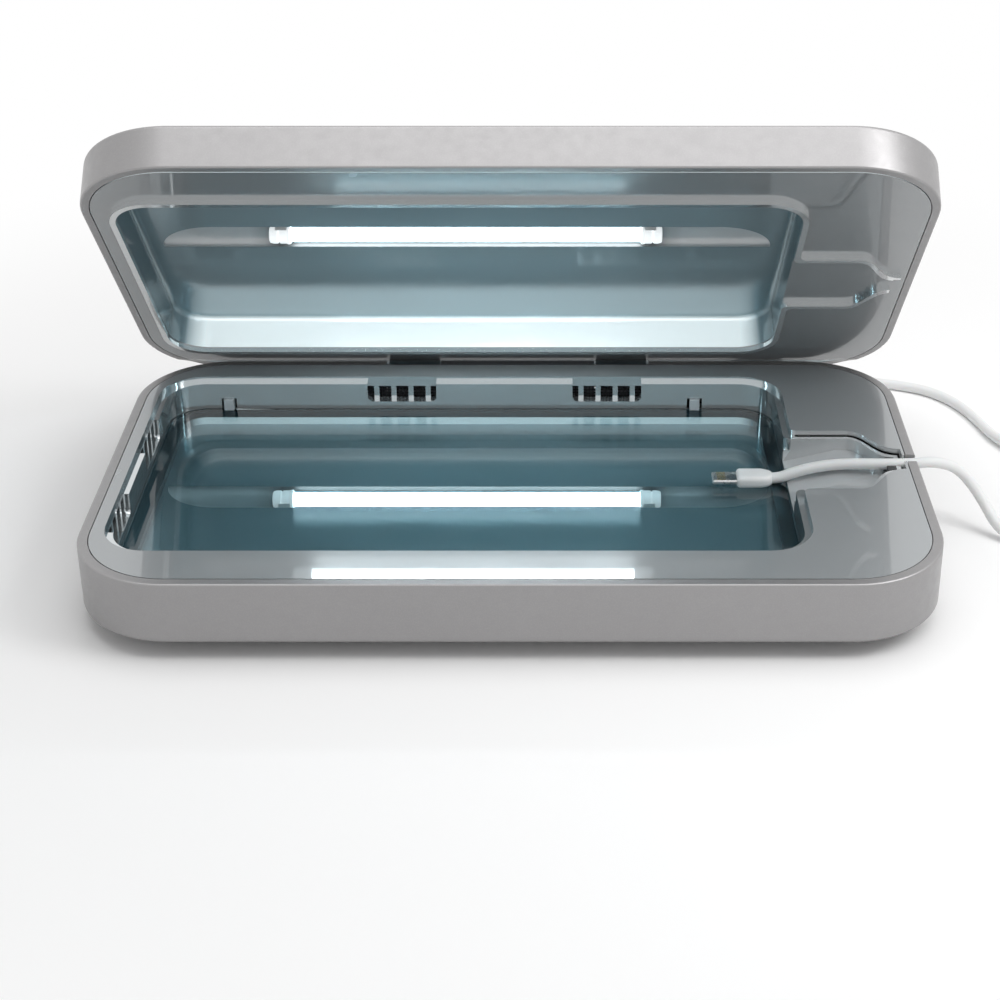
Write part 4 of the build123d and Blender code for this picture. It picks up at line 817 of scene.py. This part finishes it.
def coil_points():
    """Coil wound clockwise from its top outer turn to its bottom outer turn, in two layers."""
    middle = Vector((178.0, 8.5))
    thick = sizes().lead_d / MM
    outer = sizes().coil_r / MM
    steps = sizes().coil_steps
    points = []
    for step in range(1, int(COIL_END * steps)):
        turn = step / steps
        if turn < TOP_FULL:
            early = turn + CROSSING / 2
            row = int(early) + min(1.0, (early - int(early)) / CROSSING)
            row = min(row, TOP_FULL) - 1.0 if early >= 1.0 else 0.0
            level = 1.5 - max(0.0, early - TOP_FULL)
        elif turn < BOTTOM_START:
            row = min(3.0, 2.5 + (turn - TOP_FULL) * 10)
            level = max(0.5, 1.15 - (turn - TOP_FULL) * 6.5)
        else:
            after = turn - BOTTOM_START
            row = max(0.0, 3.0 - int(after) - min(1.0, (after - int(after)) / CROSSING))
            level = 0.5
        radius = outer - thick * row
        angle = math.pi / 2 - 2 * math.pi * turn
        across, along = radius * math.cos(angle), radius * math.sin(angle)
        points.append((middle.x + across, middle.y + along, thick * level))
    return points


def rear_plug():
    """Plug in the rear socket: its grip with a ribbed sleeve, and its steel shell."""
    low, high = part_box("usb_plug_body")
    socket_low, socket_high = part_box("usb_a_socket")
    centre = Matrix.Translation(((low.x + high.x) / 2, 0, (socket_low.z + socket_high.z) / 2))
    back, end = 0.0823, 0.0883
    grip = lofted(tapered(
        0.0633, 0.0150, 0.0076,
        (0.0, 1.6, 1.6, 1.2), (0.5, 0.4, 0.4, 1.6), (1.4, 0.0, 0.0, 2.0), (5.0, 0.0, 0.0, 2.4),
        (5.8, 0.6, 0.6, 2.4), (6.6, 0.0, 0.0, 2.4), (15.0, 0.4, 0.2, 2.6), (17.4, 2.2, 1.0, 2.8),
        (18.6, 6.0, 2.2, 2.4), (19.0, 8.6, 2.6, 2.4),
    ), "Y", 8)
    relief = [(back - 0.0006, 0.0), (back - 0.0006, 0.0026)]
    for rib in range(4):
        foot, radius = back + 0.0014 * rib, 0.0026 - 0.00016 * rib
        groove = radius - 0.00035
        relief += [(foot, radius), (foot + 0.0008, radius), (foot + 0.0009, groove), (foot + 0.0013, groove)]
    relief += [(end - 0.0002, 0.0019), (end, 0.0016), (end, 0.0)]
    form = joined([grip, turned(relief, (0, 0, 0), "Y", 28)])
    plug = link("rear_plug_grip", mesh_of("rear_plug_grip", form, 35, centre), "base", white_plastic(),
                "usb_plug_body", slot="lead_white")
    return plug, smooth_copy("usb_plug_shell", steel(), "port_steel")


def phone_plug():
    """Plug for the phone: its grip, its tongue and the tongue's contacts."""
    low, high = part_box("phone_plug_grip")
    centre = Matrix.Translation((0, (low.y + high.y) / 2, (low.z + high.z) / 2))
    body = lofted(tapered(
        low.x, high.y - low.y, high.z - low.z,
        (0.0, 1.4, 1.2, 1.0), (0.3, 0.5, 0.4, 1.3), (0.8, 0.0, 0.0, 1.4), (6.65, 0.0, 0.0, 1.4),
        (7.6, 0.4, 0.1, 1.5), (8.74, 1.2, 0.2, 1.6), (9.2, 2.0, 0.4, 1.5), (9.5, 3.0, 0.5, 1.4),
    ), "X", 8)
    grip = link("phone_plug", mesh_of("phone_plug", body, 35, centre), "base", white_plastic(),
                "phone_plug_grip", slot="lead_white")
    low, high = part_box("phone_plug_tip")
    centre = Matrix.Translation((0, (low.y + high.y) / 2, (low.z + high.z) / 2))
    tongue = lofted(tapered(
        low.x, high.y - low.y, high.z - low.z,
        (0.0, 0.9, 0.6, 0.3), (0.4, 0.0, 0.0, 0.65), ((high.x - low.x) / MM, 0.0, 0.0, 0.65),
    ), "X", 5)
    tip = link("phone_plug_tongue", mesh_of("phone_plug_tongue", tongue, 35, centre), "base", steel(),
               "phone_plug_tip", slot="port_steel")
    contact = block((-0.00018, -0.0012, -0.00004), (0.00018, 0.0012, 0.00004))
    place = Matrix.Translation((low.x + 0.0024, (low.y + high.y) / 2, high.z - 0.00003))
    place = place @ Matrix.Rotation(math.pi / 2, 4, "Z")
    row = mesh_of("phone_plug_contacts", row_of(row_tree("plug_contacts", gold()), contact, 6, 0.0008, place))
    return grip, tip, link("phone_plug_contacts", row, "base", gold(), slot="port_steel")


class BOX_OT_lead(bpy.types.Operator):
    """Lay the charging lead with its two plugs"""

    bl_idname = "box.lead"
    bl_label = "Charging lead"

    def execute(self, context):
        rear = [
            (72.525, 84.3, 11.25), (72.525, 91.5, 11.25), (75.5, 98.5, 8.6), (83.0, 101.5, 4.6),
            (92.0, 99.5, 1.9), (103.0, 93.0, 1.5), (112.0, 89.0, 1.5), (119.5, 87.0, 1.5),
            (127.5, 83.0, 1.5), (134.0, 75.0, 1.5), (138.2, 64.0, 1.5), (141.2, 50.0, 2.0),
            (150.5, 35.8, 3.6), (163.5, 28.5, 4.5), (178.0, 28.5, 4.5),
        ]
        front = [
            (178.0, -11.5, 1.5), (162.0, -12.7, 1.5), (148.0, -13.0, 1.5), (137.0, -9.6, 1.5),
            (130.8, -4.2, 2.6), (126.6, 2.4, 9.4), (120.6, 4.6, 16.8), (113.2, 2.4, 20.1),
            (107.6, 1.6, 19.7), (100.0, 1.6, 19.6), (91.5, 2.6, 19.2), (85.6, 3.5, 18.4),
            (80.2, 4.1, 17.1), (75.4, 4.3, 15.5), (72.2, 4.4, 13.9), (69.8, 4.4, 13.8),
        ]
        points = rear + coil_points() + front
        curve = bpy.data.curves.new("charging_lead", "CURVE")
        curve.dimensions = "3D"
        line = curve.splines.new("NURBS")
        line.points.add(len(points) - 1)
        for control, point in zip(line.points, points):
            control.co = (*(Vector(point) * MM), 1.0)
        line.order_u = 3
        line.use_endpoint_u = True
        line.resolution_u = 6
        curve.bevel_depth = sizes().lead_d / 2
        curve.bevel_resolution = 5
        curve.use_fill_caps = True
        curve.materials.append(lead_sleeve(tint("white")))
        lead = bpy.data.objects.new("charging_lead", curve)
        context.scene.collection.objects.link(lead)
        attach(lead, "base")
        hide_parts("lead_coil", "lead_rear_run", "lead_front_run")

        plug, shell = rear_plug()
        grip, tip, contacts = phone_plug()
        return {"FINISHED"}


# ---------------------------------------- casings and liners
class BOX_OT_casings(bpy.types.Operator):
    """Finish the silver casings of the base and the lid"""

    bl_idname = "box.casings"
    bl_label = "Casings"

    def execute(self, context):
        finish_nodes((silver_paint(tint("silver")), "silver_plastic", "base_shell", "lid_shell"))
        return {"FINISHED"}


# places of a liner's materials, after the mirror
FLANGE, TROUGH, LINING, UNDER_PLATE = 1, 2, 3, 4
# how level a flange's face is, and how far below the rim and the bed the next surfaces lie
LEVEL, BELOW_RIM, BELOW_BED = 0.95, 0.0004, 0.0001


class BOX_OT_liners(bpy.types.Operator):
    """Finish the mirror liners"""

    bl_idname = "box.liners"
    bl_label = "Mirror liners"

    def execute(self, context):
        low, high = shut_box("lid_lamp_caps")
        trough = satin_trough(tint("trough"), (low.x + high.x) / 2, (high.x - low.x) / 2)
        # lining with painted shade on its side walls, and painted light with a faint glow where it faces
        # forwards
        lining = lid_lining(tint("lining"), tint("bright"))
        base_rim, lid_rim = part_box("base_shell")[1].z, shut_box("lid_shell")[0].z
        base_coats = (
            # the base's chamber takes a darker copy of the mirror as painted shade
            mirror_plate("base_mirror", tint("base_mirror")), grey_gloss("base_flange", tint("flange")),
            trough, grey_gloss("channel_gloss", tint("trough")), lining,
        )
        lid_coats = (
            # the lid's flange takes a darker copy of the grey gloss as painted shade
            mirror_plate("lid_mirror", tint("mirror")), grey_gloss("lid_flange", tint("lid_flange")),
            trough, lining, lining,
        )
        for node, coats, rim, bed, way in (
            ("base_liner", base_coats, base_rim, sizes().chamber_depth, -1),
            ("lid_liner", lid_coats, lid_rim, sizes().recess_depth, 1),
        ):
            liner = smooth_copy(node, coats[0], "mirror_liner")
            for coat in coats[1:]:
                liner.data.materials.append(coat)
            # mask of where the lining's painted shade and painted light go
            mark_painted_light_mask(liner, node)
            back = place_of(node).inverted()
            for face in liner.data.polygons:
                level = abs((back.to_3x3() @ face.normal).z) > LEVEL
                depth = way * ((back @ face.center).z - rim)
                if level and abs(depth) < sizes().flange_depth:
                    face.material_index = FLANGE
                elif depth > bed + BELOW_BED:
                    face.material_index = TROUGH
                elif depth > BELOW_RIM and (way > 0 or face.center.x > sizes().channel_x):
                    face.material_index = LINING
                elif way < 0 and depth > sizes().plate_depth:
                    face.material_index = UNDER_PLATE
        return {"FINISHED"}


class BOX_OT_clear_plate(bpy.types.Operator):
    """Finish the clear plate, its clips and the lead's gasket"""

    bl_idname = "box.clear_plate"
    bl_label = "Clear plate"

    def execute(self, context):
        finish_nodes(
            (clear_plastic(tint("plate")), "clear_plastic", "clear_plate"),
            (moulded("clip_plastic", tint("clip"), 0.35), "white_plastic", "plate_clips"),
            (rubber("gasket_rubber", tint("gasket")), "pad_rubber", "cord_gasket"),
        )
        return {"FINISHED"}


# ---------------------------------------- lamps
class BOX_OT_lamps(bpy.types.Operator):
    """Build the two lit lamps with their end caps and holders"""

    bl_idname = "box.lamps"
    bl_label = "Lamps"

    def execute(self, context):
        glow = lamp_glow(tint("glow"), sizes().lamp_power)
        radius = sizes().lamp_d / 2
        dome = ((0.0, 0.0), (0.0001, 0.55), (0.0006, 0.9), (0.0014, 1.0))
        for body in ("base", "lid"):
            place = place_of(body + "_lamp")
            low, high = shut_box(body + "_lamp")
            mid = (low + high) / 2
            profile = [(low.x + along, radius * part) for along, part in dome]
            profile += [(high.x - along, radius * part) for along, part in reversed(dome)]
            tube = turned(profile, (0, mid.y, mid.z), "X", 32)
            link(body + "_lamp_tube", mesh_of(body + "_lamp_tube", tube, 50, place), body, glow,
                 body + "_lamp", slot="lamp_glass")
            low, high = shut_box(body + "_lamp_caps")
            mid = (low + high) / 2
            wide = (high.y - low.y) / 2
            body_r, groove_r = wide - 0.0002, wide - 0.0005
            cap = [
                (0.0, 0.0), (0.0, wide - 0.0007), (0.0002, wide - 0.0004), (0.0010, body_r), (0.0022, body_r),
                (0.0023, groove_r), (0.0027, groove_r), (0.0028, body_r), (0.0046, body_r), (0.0048, wide),
                (0.0054, wide), (0.0056, body_r), (0.0056, radius + 0.00005), (0.0052, radius + 0.00002),
                (0.0052, 0.0),
            ]
            caps = [
                turned([(end + way * along, r) for along, r in cap], (0, mid.y, mid.z), "X", 32)
                for end, way in ((low.x, 1.0), (high.x, -1.0))
            ]
            # end caps with a painted glow
            link(body + "_lamp_ends", mesh_of(body + "_lamp_ends", joined(caps), 40, place), body,
                 cap_painted_glow(tint("white"), sizes().cap_painted_glow_power), body + "_lamp_caps", slot="white_plastic")
            smooth_copy(body + "_lamp_holders", white_plastic(), "white_plastic")
        return {"FINISHED"}


# ---------------------------------------- vents
class BOX_OT_vents(bpy.types.Operator):
    """Weave the wire screens behind the vents"""

    bl_idname = "box.vents"
    bl_label = "Vent screens"

    def execute(self, context):
        wire, pitch = sizes().wire_d, sizes().wire_pitch
        # frame of a screen: half its thickness, half its bars' width and their rounding
        thin, bar, soft = 0.0004, 0.0003, 0.00008
        metal = worked_metal("dark_screen", tint("dark"), 0.6)
        tree = row_tree("screen_wires", metal)
        for node, along in (("rear_vent_screens", "x"), ("side_vent_screens", "y")):
            parts = []
            for low, high in island_boxes(node):
                mid = (low + high) / 2
                size = high - low
                length = size.x if along == "x" else size.y
                turn = STILL if along == "x" else Matrix.Rotation(math.pi / 2, 4, "Z")
                here = Matrix.Translation(mid) @ turn
                upright = block((-wire / 2, -wire / 2, -size.z / 2), (wire / 2, wire / 2, size.z / 2))
                parts.append(row_of(tree, upright, int(length / pitch), pitch, here))
                lying = block((-wire / 2, -wire / 2, -length / 2), (wire / 2, wire / 2, length / 2))
                lie = here @ Matrix.Translation((0, 0.7 * wire, 0)) @ Matrix.Rotation(math.pi / 2, 4, "Y")
                parts.append(row_of(tree, lying, int(size.z / pitch), pitch, lie))
                for side in (-1, 1):
                    edge = side * (size.z / 2 - bar)
                    rail = block((-length / 2, -thin, edge - bar), (length / 2, thin, edge + bar), soft)
                    edge = side * (length / 2 - bar)
                    post = block((edge - bar, -thin, -size.z / 2), (edge + bar, thin, size.z / 2), soft)
                    for strip in (rail, post):
                        bmesh.ops.transform(strip, matrix=here, verts=strip.verts)
                        parts.append(strip)
            mesh = mesh_of(node, joined(parts))
            link(node + "_woven", mesh, body_of_node(node), metal, node, slot="dark_mesh")
        return {"FINISHED"}


# ---------------------------------------- hinge
class BOX_OT_hinge(bpy.types.Operator):
    """Finish the hinge's block, arms, pin and screws"""

    bl_idname = "box.hinge"
    bl_label = "Hinge"

    def execute(self, context):
        bronze = worked_metal("sleeve_bronze", tint("bronze"), 0.35)
        finish_nodes(
            (moulded("hinge_plastic", tint("hinge"), 0.42), "hinge_grey", "hinge_block"),
            (moulded("arm_plastic", tint("arm"), 0.4), "arm_grey", "hinge_arm_left", "hinge_arm_right"),
            (bronze, "screw_steel", "hinge_friction_sleeve"),
            (steel(), "screw_steel", "hinge_pin", "hinge_block_screws", "hinge_arm_screws"),
        )
        return {"FINISHED"}


# ---------------------------------------- ports
class BOX_OT_ports(bpy.types.Operator):
    """Finish the sockets in the rear wall, with their contacts"""

    bl_idname = "box.ports"
    bl_label = "Rear sockets"

    def execute(self, context):
        finish_nodes(
            (steel(), "port_steel", "usb_a_socket", "usb_c_socket"),
            (dark_plastic(), "chip_black", "usb_a_tongue", "dc_inlet"),
            (lacquered_board(), "board_green", "port_board"),
        )
        low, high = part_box("usb_a_tongue")
        mid = (low + high) / 2
        strip = block((-0.0005, -0.0022, -0.00005), (0.0005, 0.0022, 0.00005))
        place = Matrix.Translation((mid.x, high.y - 0.0026, low.z + 0.00003))
        contacts = row_of(row_tree("socket_contacts", gold()), strip, 4, 0.0025, place)
        link("usb_a_contacts", mesh_of("usb_a_contacts", contacts), "base", gold(), slot="port_steel")
        return {"FINISHED"}


# ---------------------------------------- electronics
class BOX_OT_electronics(bpy.types.Operator):
    """Finish the boards and what is soldered on them"""

    bl_idname = "box.electronics"
    bl_label = "Electronics"

    def execute(self, context):
        winding = worked_metal("copper_winding", tint("copper"), 0.4, (1, 1, 60))
        finish_nodes(
            (lacquered_board(), "board_green", "control_board", "indicator_board"),
            (moulded("chip_resin", tint("resin"), 0.45), "chip_black", "board_chips"),
            (winding, "chip_black", "lamp_transformer"),
            (dark_plastic(), "chip_black", "reed_sensor"),
            (worked_metal("magnet_plating", tint("magnet"), 0.2), "screw_steel", "lid_magnet"),
            (steel(), "screw_steel", "board_screws"),
        )
        return {"FINISHED"}


class BOX_OT_light_window(bpy.types.Operator):
    """Finish the smoked window over the ready light"""

    bl_idname = "box.light_window"
    bl_label = "Ready light window"

    def execute(self, context):
        finish_nodes((smoked_window(tint("window")), "window_smoke", "indicator_window"))
        return {"FINISHED"}


# ---------------------------------------- underside
class BOX_OT_underside(bpy.types.Operator):
    """Build the cover, its screws and the ribbed rubber pad"""

    bl_idname = "box.underside"
    bl_label = "Underside"

    def execute(self, context):
        cover = moulded("cover_plastic", tint("cover"), 0.55, 900.0, 0.0001)
        finish_nodes((cover, "cover_plastic", "bottom_cover"), (steel(), "screw_steel", "cover_screws"))
        low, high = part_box("underside_pad")
        mid = (low + high) / 2
        width, depth = high.x - low.x, high.y - low.y
        pad_rubber = rubber("pad_rubber", tint("dark"))
        sheet = lofted([
            (0.0005, width - 0.0008, depth - 0.0008, 0.0116), (0.0007, width, depth, 0.012),
            (high.z, width, depth, 0.012),
        ], "Z", 10)
        pitch = sizes().rib_pitch
        reach = (depth - 0.010) / 2
        end, crest = (0.0008, 0.0003, 0.0001), (0.0018, 0.0006, 0.0002)
        inner = reach - 0.001
        rib = lofted([(-reach, *end), (-inner, *crest), (inner, *crest), (reach, *end)], "Y", 2)
        bmesh.ops.translate(rib, vec=(0, 0, 0.0003), verts=rib.verts)
        row = row_of(row_tree("pad_ribs", pad_rubber), rib, int((width - 0.008) / pitch), pitch)
        form = joined([sheet, row])
        link("ribbed_pad", mesh_of("ribbed_pad", form, 35, Matrix.Translation((mid.x, mid.y, 0))), "base",
             pad_rubber, "underside_pad", slot="pad_rubber")
        return {"FINISHED"}


# ---------------------------------------- panel and run
PIECES = (
    BOX_OT_stage, BOX_OT_lead, BOX_OT_casings, BOX_OT_liners, BOX_OT_clear_plate, BOX_OT_lamps, BOX_OT_vents,
    BOX_OT_hinge, BOX_OT_ports, BOX_OT_electronics, BOX_OT_light_window, BOX_OT_underside,
)


class BOX_PT_pieces(bpy.types.Panel):
    """Pieces of the box, in the order in which they are made"""

    bl_label = "Phone Box"
    bl_space_type = "VIEW_3D"
    bl_region_type = "UI"
    bl_category = "Phone Box"

    def draw(self, context):
        for piece in PIECES:
            self.layout.operator(piece.bl_idname)


CLASSES = (BoxSizes, BoxColours) + PIECES + (BOX_PT_pieces,)


def register():
    for each in CLASSES:
        bpy.utils.register_class(each)
    bpy.types.Scene.box_sizes = PointerProperty(type=BoxSizes)
    bpy.types.Scene.box_colours = PointerProperty(type=BoxColours)


def unregister():
    del bpy.types.Scene.box_colours
    del bpy.types.Scene.box_sizes
    for each in reversed(CLASSES):
        bpy.utils.unregister_class(each)


def main():
    """Make every piece in order."""
    register()
    for piece in PIECES:
        group, name = piece.bl_idname.split(".")
        getattr(getattr(bpy.ops, group), name)()


if __name__ == "__main__":
    main()
